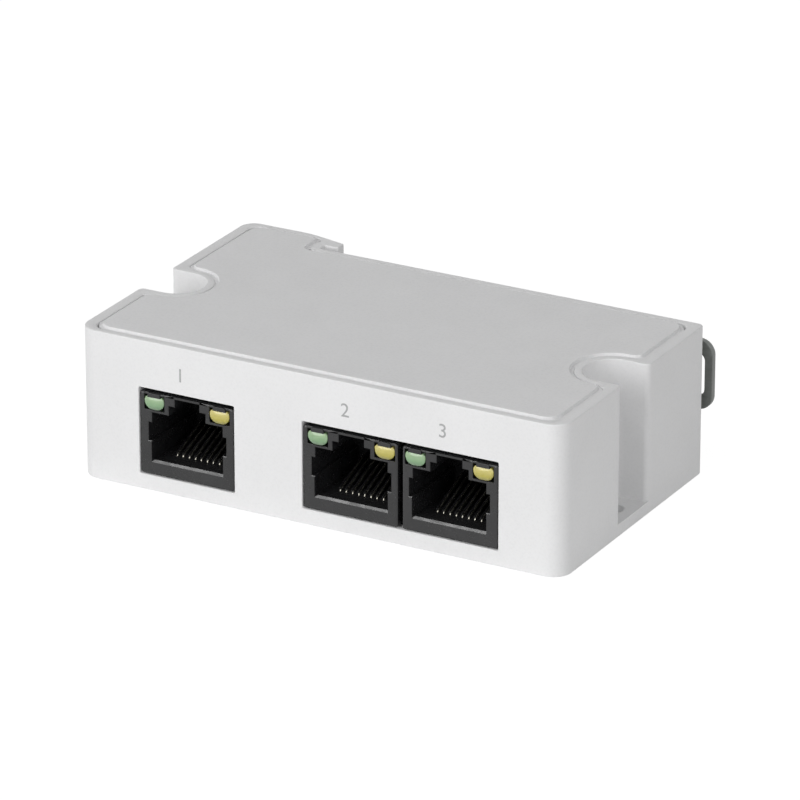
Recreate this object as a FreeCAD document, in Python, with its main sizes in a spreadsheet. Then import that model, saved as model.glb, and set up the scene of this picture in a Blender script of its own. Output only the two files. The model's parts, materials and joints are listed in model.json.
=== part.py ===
import FreeCAD, Part
import math
import operator
import os

import Sketcher
from FreeCAD import Placement, Rotation, Vector

# A small in-line network power extender with one input and two output sockets.
# Row frame, in millimetres: the origin is midway between the two wall screws, on the underside.
# +X runs along the front to the viewer's right, +Y to the back with its rail clip, +Z up.

SIZES = {
    # moulded housing
    "housing_width": 80.0,
    "housing_depth": 45.0,
    "housing_height": 23.5,
    "corner_radius": 3.0,
    "back_corner_radius": 0.6,
    "floor_thickness": 2.0,
    "wall_thickness": 2.2,
    # top cover and the rim round it
    "rim_width": 1.2,
    "side_rim_width": 1.8,
    "hook_rim_width": 1.5,
    "rim_radius": 1.9,
    "cover_seat_share": 0.34,
    "cover_gap": 0.15,
    "cover_radius": 2.4,
    "cover_bevel": 0.6,
    "cover_rise": 0.25,
    "cover_relief_share": 0.37,
    "cover_ledge": 2.4,
    "rim_hook_radius": 1.2,
    "snap_width": 6.0,
    "snap_thickness": 1.1,
    "snap_length_share": 0.5,
    "snap_barb": 0.35,
    "snap_catch_share": 0.36,
    "snap_offset": 14.0,
    "snap_gap": 0.15,
    "snap_play": 0.3,
    "barb_low_share": 0.65,
    "barb_high_share": 0.8,
    # screw notches in the two sides
    "notch_share": 0.1,
    "notch_half_share": 0.55,
    "notch_flat": 0.5,
    "mouth_radius": 0.85,
    "mouth_slope": 0.6,
    "flare_radius": 1.0,
    "flare_gap": 0.4,
    "screw_inset": 3.8,
    "screw_hole_radius": 1.95,
    # fixed hook of the rail clip
    "hook_reach": 4.9,
    "hook_root": 15.35,
    "hook_overlap": 2.3,
    "hook_tip": 1.9,
    "hook_flat": 11.3,
    "hook_curve": 14.0,
    "hook_corner_radius": 2.4,
    "hook_lip_radius": 0.3,
    "hook_nose_radius": 0.35,
    "rail_slot": 1.5,
    "rail_width": 35.0,
    # sockets
    "jack_width": 15.85,
    "jack_height": 13.45,
    "jack_length": 21.3,
    "jack_bottom": 2.55,
    "jack_recess": 0.15,
    "jack_clearance": 0.08,
    "port_side_gap": 0.2,
    "port_gap": 0.15,
    "plug_width": 11.9,
    "plug_floor": 2.3,
    "plug_top": 9.8,
    "plug_depth": 13.0,
    "key_low": 5.3,
    "key_high": 8.2,
    "key_depth": 0.6,
    "tab_width": 6.2,
    "tab_step": 11.3,
    "tab_neck": 4.15,
    "tab_top": 12.85,
    "rear_wall": 1.2,
    "septum": 1.0,
    "face_bevel": 0.25,
    "lip_bevel": 0.35,
    "peg_length": 1.8,
    "peg_width": 0.9,
    "peg_spread": 5.7,
    "peg_depth": 11.4,
    "peg_rise": 0.4,
    "peg_play": 0.05,
    # indicator lamps
    "lamp_width": 3.2,
    "lamp_low": 10.25,
    "lamp_flat": 12.35,
    "lamp_window_top": 12.95,
    "lamp_spread": 5.5,
    "lamp_length": 6.0,
    "lamp_bevel": 0.4,
    "lamp_gap": 0.05,
    "lamp_inset": 0.1,
    "lamp_round_share": 0.9,
    "keeper_half_width": 1.15,
    "keeper_top_half": 0.95,
    "keeper_depth": 1.2,
    "lead_size": 0.5,
    "lead_spread": 0.8,
    "lead_root": 1.2,
    "lead_turn": 0.6,
    "lead_exit_half": 1.3,
    "lead_exit_start": 0.2,
    "lead_exit_end": 1.5,
    # contact wires
    "wire_pitch": 1.02,
    "wire_width": 0.42,
    "wire_thickness": 0.3,
    "wire_front": 3.2,
    "wire_low": 1.5,
    "wire_tip": 2.35,
    "wire_rise_depth": 10.6,
    "wire_high": 5.5,
    "wire_play": 0.06,
    "pin_depth": 16.2,
    "pin_stagger": 2.54,
    "pin_tail": 0.9,
    # circuit board and its screws
    "board_thickness": 1.6,
    "board_gap": 0.4,
    "post_inset_x": 6.2,
    "post_inset_y": 7.9,
    "post_radius": 2.5,
    "square_post_share": 0.8,
    "bore_spare": 1.0,
    "rib_thickness": 1.2,
    "rib_drop": 1.5,
    "locating_pin": 1.6,
    "pin_rise": 0.3,
    "pin_play": 0.05,
    "board_screw_play": 0.15,
    "screw_play": 0.05,
    "screw_radius": 1.0,
    "screw_length": 7.0,
    "screw_head_radius": 1.9,
    "screw_head_share": 0.22,
    "recess_arm": 1.0,
    "recess_half": 0.2,
    "recess_share": 0.55,
    # sliding latch of the rail clip
    "latch_thickness": 1.0,
    "latch_width": 11.0,
    "latch_level": 14.75,
    "latch_reach": 0.65,
    "latch_grip": 1.5,
    "latch_gap": 0.1,
    "loop_bar": 1.35,
    "loop_height": 6.8,
    "loop_share": 0.169,
    "loop_radius": 2.2,
    "loop_inner_radius": 1.0,
    "loop_outer_radius": 1.2,
    "nose_bevel": 0.7,
    "nose_radius": 0.6,
    "spring_wire": 0.4,
    "spring_radius": 1.25,
    "spring_share": 0.29,
    "spring_turns": 4.5,
    "spring_corner_share": 1.25,
    "spring_tongue": 1.5,
    "spring_tongue_half": 0.55,
    "spring_place": 0.225,
    "stop_share": 0.074,
    "stop_half_width": 1.4,
    "nub_half_width": 0.5,
    "nub_length": 1.2,
    "trough_margin": 1.0,
    "trough_floor": 0.2,
    "guide_lip": 1.3,
    "guide_wall": 1.2,
    "guide_lip_thickness": 1.0,
    "bed_gap": 0.5,
    "guide_share": 0.135,
    "near_guide_place": 0.07,
    "far_guide_place": 0.67,
    "latch_bed_share": 0.806,
    "coil_share": 0.234,
    "coil_base": 0.9,
    "coil_height": 4.5,
    "coil_gap": 0.1,
    "crystal_lip": 0.4,
    "small_part_share": 0.04,
    "small_part_rise_share": 0.12,
    "leg_thickness": 0.2,
    "leg_root": 0.3,
    "leg_knee_share": 0.45,
    "knee_share": 0.4,
    "chip_lift": 0.15,
    "can_gap": 0.2,
    "can_lead_share": 0.45,
    "weld": 0.2,
}

WIRE_COUNT = 8

# Packages with two rows of legs. Lengths are shares of half the housing's width, widths, places and
# reaches of the room behind the sockets, pitches of the length, heights of the room over or under the board.
PACKAGES = {
    "magnetics": {
        "length": 0.3175,
        "width": 0.328,
        "height": 0.371,
        "behind": 0.246,
        "legs": 6,
        "pitch": 0.1395,
        "leg_width": 0.5,
        "reach": 0.056,
    },
    "controller": {
        "length": 0.1225,
        "width": 0.183,
        "height": 0.246,
        "behind": 0.283,
        "legs": 4,
        "pitch": 0.259,
        "leg_width": 0.42,
        "reach": 0.049,
    },
    "switch_chip": {
        "length": 0.25,
        "width": 0.468,
        "height": 0.237,
        "behind": 0.354,
        "legs": 10,
        "pitch": 0.09,
        "leg_width": 0.35,
        "reach": 0.047,
    },
    "rectifier": {
        "length": 0.1625,
        "width": 0.234,
        "height": 0.171,
        "behind": 0.728,
        "legs": 2,
        "pitch": 0.391,
        "leg_width": 0.8,
        "reach": 0.047,
    },
}
# Where single packages stand across the housing, as shares of half its width
PACKAGE_PLACES = {
    "input_controller": -0.6,
    "output_controller": 0.3625,
    "camera_controller": 0.6375,
    "rectifier_1": 0.3125,
    "rectifier_2": 0.5625,
    "switch_chip": 0.025,
}
# The other parts, in the same kinds of share
CANS = {
    "bulk_capacitor": {"across": -0.2, "behind": 0.714, "radius": 0.187, "height": 0.75},
    "output_capacitor": {"across": 0.05, "behind": 0.742, "radius": 0.1475, "height": 0.571},
}
COIL = {"across": -0.5375, "behind": 0.714, "clip": 0.32, "core": 0.92}
CRYSTAL = {
    "west": -0.6,
    "east": -0.325,
    "south": 0.62,
    "north": 0.827,
    "base": 0.085,
    "lid": 0.44,
    "bend": 0.44,
}
SMALL_PARTS = {"count": 14, "first": -0.75, "step": 0.115, "rows": (0.911, 0.855)}

OPERATIONS = {"+": operator.add, "-": operator.sub, "*": operator.mul, "/": operator.truediv}


# A number that keeps the sheet expression it comes from.
class Size:
    def __init__(self, value, text):
        self.value = value
        self.text = text

    def joined(self, sign, other, swapped=False):
        other = as_size(other)
        first, second = (other, self) if swapped else (self, other)
        return Size(OPERATIONS[sign](first.value, second.value), f"({first.text} {sign} {second.text})")

    def __add__(self, other):
        return self.joined("+", other)

    def __radd__(self, other):
        return self.joined("+", other, swapped=True)

    def __sub__(self, other):
        return self.joined("-", other)

    def __rsub__(self, other):
        return self.joined("-", other, swapped=True)

    def __mul__(self, other):
        return self.joined("*", other)

    def __rmul__(self, other):
        return self.joined("*", other, swapped=True)

    def __truediv__(self, other):
        return self.joined("/", other)

    def __neg__(self):
        return self.joined("*", -1)


def as_size(number):
    return number if isinstance(number, Size) else Size(float(number), repr(float(number)))


doc = FreeCAD.newDocument("extender")
sheet = doc.addObject("Spreadsheet::Sheet", "Sizes")
for line, (alias, number) in enumerate(SIZES.items(), 1):
    sheet.set(f"A{line}", alias.replace("_", " "))
    sheet.set(f"B{line}", str(number))
    sheet.setAlias(f"B{line}", alias)
doc.recompute()


def cell(alias):
    return Size(SIZES[alias], f"Sizes.{alias}")


# Every cell under its own short name
size = {alias: cell(alias) for alias in SIZES}

left = -size["housing_width"] / 2
right = size["housing_width"] / 2
front = -size["housing_depth"] / 2
back = size["housing_depth"] / 2
top = size["housing_height"]
floor = size["floor_thickness"]
wall = size["wall_thickness"]
hook_back = back + size["hook_reach"]
slot_root = left + size["hook_root"]
jack_front = front + size["jack_recess"]
jack_base = size["jack_bottom"]
jack_top = jack_base + size["jack_height"]
board_under = jack_top
board_over = jack_top + size["board_thickness"]
head_room = top - board_over
under_room = board_under - floor
cover_seat = head_room * size["cover_seat_share"]
seat_level = top - cover_seat
rear_start = jack_front + size["jack_length"]
rear_room = back - wall - rear_start
notch_depth = size["housing_width"] * size["notch_share"]
notch_half = notch_depth * size["notch_half_share"]
latch_face = back + size["rail_slot"]
latch_back = latch_face + size["latch_thickness"]
rail_edge = slot_root + size["rail_width"]
latch_room = right - rail_edge
spring_start = rail_edge + latch_room * size["spring_place"]
spring_length = latch_room * size["spring_share"]
stop_length = latch_room * size["stop_share"]
weld = size["weld"]
outer_port = right - notch_depth - wall - size["jack_width"] / 2 - size["port_side_gap"]
nose_end = rail_edge - size["latch_grip"]
ports = {
    "input": -outer_port,
    "output": outer_port - size["jack_width"] - size["port_gap"],
    "camera": outer_port,
}
nodes = []


def bind(item, path, number):
    item.setExpression(path, as_size(number).text)


def place(item, x=0, y=0, z=0):
    for axis, number in zip("xyz", (x, y, z)):
        bind(item, f"Placement.Base.{axis}", number)
    return item


# An upright block between two opposite corners
def block(name, low, high):
    item = doc.addObject("Part::Box", name)
    for side, start, end in zip(("Length", "Width", "Height"), low, high):
        bind(item, side, as_size(end) - start)
    return place(item, *low)


def fuse(name, shapes):
    item = doc.addObject("Part::MultiFuse", name)
    item.Shapes = shapes
    item.Refine = True
    return item


def cut(name, base, tool):
    item = doc.addObject("Part::Cut", name)
    item.Base = base
    item.Tool = tool
    item.Refine = True
    return item


def compound(name, parts):
    item = doc.addObject("Part::Compound", name)
    item.Links = parts
    return item


def node(item, name):
    item.Label = name
    nodes.append(item)
    return item


# A closed outline of straight edges, each corner (x, y) sharp or (x, y, radius) rounded
def draw(sketch, corners):
    points = [Vector(as_size(c[0]).value, as_size(c[1]).value) for c in corners]
    total = len(points)
    ends = []
    for i, corner in enumerate(corners):
        before = points[i - 1] - points[i]
        after = points[(i + 1) % total] - points[i]
        if len(corner) == 2:
            ends.append((points[i], points[i], None))
            continue
        half = before.getAngle(after) / 2
        reach = as_size(corner[2]).value / math.tan(half)
        start = points[i] + before.normalize() * reach
        end = points[i] + after.normalize() * reach
        centre = points[i] + (before + after).normalize() * (as_size(corner[2]).value / math.sin(half))
        ends.append((start, end, centre))
    lines = []
    for i in range(total):
        segment = Part.LineSegment(ends[i][1], ends[(i + 1) % total][0])
        lines.append(sketch.addGeometry(segment, False))
    for i, corner in enumerate(corners):
        before, after = lines[i - 1], lines[i]
        if len(corner) == 2:
            sketch.addConstraint(Sketcher.Constraint("Coincident", before, 2, after, 1))
            fix_point(sketch, after, 1, corner)
            continue
        start, end, centre = ends[i]
        radius = as_size(corner[2]).value
        turns_left = (start - centre).cross(end - centre).z > 0
        first, last = (1, 2) if turns_left else (2, 1)
        angles = [math.atan2(p.y - centre.y, p.x - centre.x) for p in (start, end)]
        low, high = angles if turns_left else reversed(angles)
        if high < low:
            high += 2 * math.pi
        ring = Part.Circle(centre, Vector(0, 0, 1), radius)
        arc = sketch.addGeometry(Part.ArcOfCircle(ring, low, high), False)
        vertex = sketch.addGeometry(Part.Point(points[i]), True)
        fix_point(sketch, vertex, 1, corner)
        sketch.addConstraint(Sketcher.Constraint("PointOnObject", vertex, 1, before))
        sketch.addConstraint(Sketcher.Constraint("PointOnObject", vertex, 1, after))
        sketch.addConstraint(Sketcher.Constraint("Tangent", before, 2, arc, first))
        sketch.addConstraint(Sketcher.Constraint("Tangent", after, 1, arc, last))
        held = sketch.addConstraint(Sketcher.Constraint("Radius", arc, radius))
        bind(sketch, f"Constraints[{held}]", corner[2])


def fix_point(sketch, geometry, point, corner):
    for kind, number in (("DistanceX", corner[0]), ("DistanceY", corner[1])):
        value = as_size(number).value
        held = sketch.addConstraint(Sketcher.Constraint(kind, -1, 1, geometry, point, value))
        bind(sketch, f"Constraints[{held}]", number)


def draw_circle(sketch, x, y, radius):
    centre = Vector(as_size(x).value, as_size(y).value)
    circle = sketch.addGeometry(Part.Circle(centre, Vector(0, 0, 1), as_size(radius).value), False)
    fix_point(sketch, circle, 3, (x, y))
    held = sketch.addConstraint(Sketcher.Constraint("Radius", circle, as_size(radius).value))
    bind(sketch, f"Constraints[{held}]", radius)


def rectangle(low, high):
    return [(low[0], low[1]), (high[0], low[1]), (high[0], high[1]), (low[0], high[1])]


def new_body(name):
    return doc.addObject("PartDesign::Body", name)


# A sketch on one of a body's own planes: XY faces up, XZ faces the front, YZ faces right
def new_sketch(body, name, role, level=0):
    sketch = body.newObject("Sketcher::SketchObject", name)
    plane = next(item for item in body.Origin.OriginFeatures if item.Role == role)
    sketch.AttachmentSupport = (plane, [""])
    sketch.MapMode = "FlatFace"
    along = -as_size(level) if role == "XZ_Plane" else as_size(level)
    bind(sketch, "AttachmentOffset.Base.z", along)
    return sketch


def pad(body, sketch, length, reverse=False):
    item = body.newObject("PartDesign::Pad", sketch.Name + "_pad")
    item.Profile = sketch
    bind(item, "Length", length)
    item.Reversed = reverse
    return item


def pocket(body, sketch, length, reverse=False):
    before = volume_of(body)
    item = body.newObject("PartDesign::Pocket", sketch.Name + "_pocket")
    item.Profile = sketch
    bind(item, "Length", length)
    item.Reversed = reverse
    if volume_of(body) > before - 1e-4:
        raise ValueError(f"{item.Name} removes nothing")
    return item


# Name of a shape's highest level face
def top_face(shape):
    heights = [face.CenterOfMass.z for face in shape.Faces]
    return f"Face{heights.index(max(heights)) + 1}"


# Name of a shape's foremost face
def front_face(shape):
    depths = [face.CenterOfMass.y for face in shape.Faces]
    return f"Face{depths.index(min(depths)) + 1}"


# A bevel round one face of a pad
def chamfer(body, base, find_face, width):
    before = volume_of(body)
    item = body.newObject("PartDesign::Chamfer", base.Name + "_bevel")
    item.Base = (base, [find_face(base.Shape)])
    bind(item, "Size", width)
    if volume_of(body) > before - 1e-4:
        raise ValueError(f"{item.Name} removes nothing")


def volume_of(body):
    doc.recompute()
    return body.Shape.Volume


# The plan of the housing, with or without its screw notches
def housing_plan(with_notches):
    radius = size["corner_radius"]
    bend = notch_half - size["notch_flat"] / 2
    mouth = size["mouth_radius"]
    tip_x = slot_root + size["hook_overlap"]
    tip_y = latch_face + size["hook_tip"]
    plan = [(left, front, radius), (right, front, radius)]
    if with_notches:
        plan += [
            (right, -notch_half, mouth),
            (right - notch_depth, -notch_half, bend),
            (right - notch_depth, notch_half, bend),
            (right, notch_half, mouth),
        ]
    plan += [
        (right, back, size["back_corner_radius"]),
        (slot_root, back),
        (slot_root, latch_face),
        (tip_x, latch_face, size["hook_lip_radius"]),
        (tip_x, tip_y, size["hook_nose_radius"]),
        (left + size["hook_flat"], hook_back, size["hook_curve"]),
        (left, hook_back, size["hook_corner_radius"]),
    ]
    if with_notches:
        plan += [
            (left, notch_half, mouth),
            (left + notch_depth, notch_half, bend),
            (left + notch_depth, -notch_half, bend),
            (left, -notch_half, mouth),
        ]
    return plan


# The same plan set in from the sides, the front and back, and the hook's slot
def inset_plan(side, inset, step, radius):
    notch_x = notch_depth + inset
    notch_y = notch_half + inset
    bend = notch_y - size["notch_flat"] / 2
    flare_x = notch_x - bend - size["flare_gap"]
    flare_y = notch_y + (flare_x - side) * size["mouth_slope"]
    flare = size["flare_radius"]
    hook = size["rim_hook_radius"]
    return [
        (left + side, front + inset, radius),
        (right - side, front + inset, radius),
        (right - side, -flare_y),
        (right - flare_x, -notch_y, flare),
        (right - notch_x, -notch_y, bend),
        (right - notch_x, notch_y, bend),
        (right - flare_x, notch_y, flare),
        (right - side, flare_y),
        (right - side, back - inset, radius),
        (slot_root - step, back - inset, hook),
        (slot_root - step, hook_back - inset, hook),
        (left + side, hook_back - inset, radius),
        (left + side, flare_y),
        (left + flare_x, notch_y, flare),
        (left + notch_x, notch_y, bend),
        (left + notch_x, -notch_y, bend),
        (left + flare_x, -notch_y, flare),
        (left + side, -flare_y),
    ]


# The inside of the walls, with square corners
def hollow_plan():
    notch_x = notch_depth + wall
    notch_y = notch_half + wall
    bend = notch_y - size["notch_flat"] / 2
    return [
        (left + wall, front + wall),
        (right - wall, front + wall),
        (right - wall, -notch_y),
        (right - notch_x, -notch_y, bend),
        (right - notch_x, notch_y, bend),
        (right - wall, notch_y),
        (right - wall, back - wall),
        (slot_root - wall, back - wall),
        (slot_root - wall, hook_back - wall),
        (left + wall, hook_back - wall),
        (left + wall, notch_y),
        (left + notch_x, notch_y, bend),
        (left + notch_x, -notch_y, bend),
        (left + wall, -notch_y),
    ]


def snap_places():
    return [
        (-size["snap_offset"], -1),
        (size["snap_offset"], -1),
        (-size["snap_offset"], 1),
        (size["snap_offset"], 1),
    ]


# The tray: floor, walls, rim, screw notches, fixed hook, board posts and latch guides
def make_housing():
    body = new_body("housing_body")
    base = new_sketch(body, "floor_plan", "XY_Plane")
    draw(base, housing_plan(False))
    pad(body, base, floor)
    walls = new_sketch(body, "wall_plan", "XY_Plane", floor)
    draw(walls, housing_plan(True))
    pad(body, walls, top - floor)
    seat = new_sketch(body, "seat_plan", "XY_Plane", top)
    side, inset, step = (size[name] for name in ("side_rim_width", "rim_width", "hook_rim_width"))
    draw(seat, inset_plan(side, inset, step, size["rim_radius"]))
    pocket(body, seat, cover_seat)
    hollow = new_sketch(body, "hollow_plan", "XY_Plane", seat_level)
    draw(hollow, hollow_plan())
    pocket(body, hollow, seat_level - floor)
    add_posts(body)
    cut_windows(body)
    cut_snaps(body)
    add_guides(body)
    holes = new_sketch(body, "screw_holes", "XY_Plane", floor)
    for x in (left + size["screw_inset"], right - size["screw_inset"]):
        draw_circle(holes, x, 0, size["screw_hole_radius"])
    pocket(body, holes, floor)
    node(body, "housing")


def post_places():
    x = right - size["post_inset_x"]
    y = back - size["post_inset_y"]
    return [(sx * x, sy * y) for sx in (-1, 1) for sy in (-1, 1)]


# Two of the four square posts take screws, and the other two locate the board with a square pin
def screw_places():
    return [place for place in post_places() if place[0].value * place[1].value < 0]


def pin_places():
    return [place for place in post_places() if place[0].value * place[1].value > 0]


def add_posts(body):
    posts = new_sketch(body, "post_plan", "XY_Plane", floor)
    half = size["post_radius"] * size["square_post_share"]
    for x, y in post_places():
        draw(posts, rectangle((x - half, y - half), (x + half, y + half)))
    pad(body, posts, board_under - floor)
    ribs = new_sketch(body, "rib_plan", "XY_Plane", floor)
    rib = size["rib_thickness"] / 2
    for x, y in post_places():
        low, high = (x + half, right - wall / 2) if x.value > 0 else (left + wall / 2, x - half)
        draw(ribs, rectangle((low - weld, y - rib), (high + weld, y + rib)))
    pad(body, ribs, board_under - floor - size["rib_drop"])
    bores = new_sketch(body, "post_bores", "XY_Plane", board_under)
    for x, y in screw_places():
        draw_circle(bores, x, y, size["screw_radius"] + size["screw_play"])
    pocket(body, bores, size["screw_length"] + size["bore_spare"])
    pins = new_sketch(body, "board_pins_plan", "XY_Plane", board_under)
    pin = size["locating_pin"] / 2
    for x, y in pin_places():
        draw(pins, rectangle((x - pin, y - pin), (x + pin, y + pin)))
    pad(body, pins, size["board_thickness"] + size["pin_rise"])


# Two windows in the front wall: one for the input, one for the pair beside it
def cut_windows(body):
    windows = new_sketch(body, "front_windows", "XZ_Plane", front)
    reach = size["jack_width"] / 2 + size["jack_clearance"]
    low = jack_base - size["jack_clearance"]
    high = jack_top + size["jack_clearance"]
    draw(windows, rectangle((ports["input"] - reach, low), (ports["input"] + reach, high)))
    draw(windows, rectangle((ports["output"] - reach, low), (ports["camera"] + reach, high)))
    pocket(body, windows, wall)


def cut_snaps(body):
    snap_tip = seat_level - head_room * size["snap_length_share"]
    catch = head_room * size["snap_catch_share"]
    play = size["snap_play"]
    snaps = new_sketch(body, "snap_pockets", "XY_Plane", snap_tip + catch + play)
    half = size["snap_width"] / 2 + play
    bite = size["snap_barb"] + size["snap_gap"]
    for x, side in snap_places():
        face = back - wall if side > 0 else front + wall
        low, high = (face - play, face + bite) if side > 0 else (face - bite, face + play)
        draw(snaps, rectangle((x - half, low), (x + half, high)))
    pocket(body, snaps, catch + 2 * play)


# Raised pad on the back with a trough for the spring, a stop, and lipped guides for the latch
def add_guides(body):
    middle = size["latch_level"]
    half = size["latch_width"] / 2
    gap = size["latch_gap"]
    pad_face = latch_face - gap
    bed = new_sketch(body, "latch_bed", "XZ_Plane", back)
    outer = half + gap + size["guide_wall"]
    bed_end = rail_edge + latch_room * size["latch_bed_share"]
    draw(bed, rectangle((rail_edge + size["bed_gap"], middle - outer), (bed_end, middle + outer)))
    pad(body, bed, pad_face - back, reverse=True)
    trough = new_sketch(body, "spring_trough", "XZ_Plane", pad_face)
    spring_end = spring_start + spring_length
    reach = size["spring_radius"] + size["spring_wire"]
    trough_start = spring_start - size["trough_margin"]
    draw(trough, rectangle((trough_start, middle - reach), (spring_end, middle + reach)))
    pocket(body, trough, size["rail_slot"] - gap - size["trough_floor"], reverse=True)
    stop = new_sketch(body, "latch_stop", "XZ_Plane", pad_face)
    stop_half = size["stop_half_width"]
    draw(stop, rectangle((spring_end, middle - stop_half), (spring_end + stop_length, middle + stop_half)))
    pad(body, stop, latch_back + 2 * gap - pad_face, reverse=True)
    nub = new_sketch(body, "spring_nub", "YZ_Plane", spring_end)
    nub_y = latch_face + size["latch_thickness"] / 2
    nub_half = size["nub_half_width"]
    draw(nub, rectangle((nub_y - nub_half, middle - nub_half), (nub_y + nub_half, middle + nub_half)))
    pad(body, nub, size["nub_length"], reverse=True)
    lip_face = latch_back + gap
    lip_back = lip_face + size["guide_lip_thickness"]
    for place_name in ("near", "far"):
        start = rail_edge + latch_room * size[f"{place_name}_guide_place"]
        for side in (-1, 1):
            edge = middle + side * (half + gap)
            outside = edge + side * size["guide_wall"]
            inside = edge - side * size["guide_lip"]
            name = f"guide_{'upper' if side > 0 else 'lower'}_{place_name}"
            guide = new_sketch(body, name, "YZ_Plane", start)
            hooked = [
                (pad_face - weld, edge),
                (lip_face, edge),
                (lip_face, inside),
                (lip_back, inside),
                (lip_back, outside),
                (pad_face - weld, outside),
            ]
            draw(guide, hooked)
            pad(body, guide, latch_room * size["guide_share"])


# The cover: a plate with bevelled edges that stands a little above the rim, and snap tongues
def make_cover():
    body = new_body("cover_body")
    gap = size["cover_gap"]
    plate = new_sketch(body, "cover_plan", "XY_Plane", seat_level)
    side, inset, step = (size[name] + gap for name in ("side_rim_width", "rim_width", "hook_rim_width"))
    draw(plate, inset_plan(side, inset, step, size["cover_radius"]))
    slab = pad(body, plate, cover_seat + size["cover_rise"])
    chamfer(body, slab, top_face, size["cover_bevel"])
    relief = new_sketch(body, "cover_relief", "XY_Plane", seat_level)
    ledge = size["cover_ledge"]
    draw(relief, relief_plan(side + ledge, inset + ledge, step + ledge))
    pocket(body, relief, cover_seat * size["cover_relief_share"], reverse=True)
    for number, (x, tongue_side) in enumerate(snap_places(), 1):
        add_tongue(body, number, x, tongue_side)
    node(body, "top_cover")


# The thin middle of the cover, clear of its rim and of the screw notches
def relief_plan(side, inset, step):
    notch_x = notch_depth + inset
    notch_y = notch_half + inset
    return [
        (left + side, front + inset),
        (right - side, front + inset),
        (right - side, -notch_y),
        (right - notch_x, -notch_y),
        (right - notch_x, notch_y),
        (right - side, notch_y),
        (right - side, back - inset),
        (slot_root - step, back - inset),
        (slot_root - step, hook_back - inset),
        (left + side, hook_back - inset),
        (left + side, notch_y),
        (left + notch_x, notch_y),
        (left + notch_x, -notch_y),
        (left + side, -notch_y),
    ]


def add_tongue(body, number, x, side):
    face = side * (back - wall - size["snap_gap"])
    inner = face - side * size["snap_thickness"]
    barb = face + side * size["snap_barb"]
    tip = seat_level - head_room * size["snap_length_share"]
    catch = head_room * size["snap_catch_share"]
    tongue = new_sketch(body, f"tongue_{number}", "YZ_Plane", x - size["snap_width"] / 2)
    outline = [
        (inner, seat_level + weld),
        (inner, tip),
        (face, tip),
        (barb, tip + catch * size["barb_low_share"]),
        (barb, tip + catch * size["barb_high_share"]),
        (face, tip + catch),
        (face, seat_level + weld),
    ]
    draw(tongue, outline)
    pad(body, tongue, size["snap_width"])


# Outline of the plug opening as seen from the front, with its keyways and stepped tab slot
def plug_outline(x):
    plug = size["plug_width"] / 2
    key = plug + size["key_depth"]
    wide = size["tab_width"] / 2
    neck = size["tab_neck"] / 2
    levels = {name: jack_base + size[name] for name in ("plug_floor", "key_low", "key_high", "plug_top")}
    step = jack_base + size["tab_step"]
    roof = jack_base + size["tab_top"]
    half = [
        (plug, levels["plug_floor"]),
        (plug, levels["key_low"]),
        (key, levels["key_low"]),
        (key, levels["key_high"]),
        (plug, levels["key_high"]),
        (plug, levels["plug_top"]),
        (wide, levels["plug_top"]),
        (wide, step),
        (neck, step),
        (neck, roof),
    ]
    return [(x + dx, z) for dx, z in half] + [(x - dx, z) for dx, z in reversed(half)]


# A board peg or, with some play, its hole in the board
def peg_outline(x, play):
    y = jack_front + size["peg_depth"]
    long_half = size["peg_length"] / 2 + play
    short_half = size["peg_width"] / 2 + play
    return rectangle((x - long_half, y - short_half), (x + long_half, y + short_half))


# The middles of a socket's eight wires
def wire_places(x):
    first = x - size["wire_pitch"] * (WIRE_COUNT - 1) / 2
    return [first + size["wire_pitch"] * number for number in range(WIRE_COUNT)]


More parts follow.
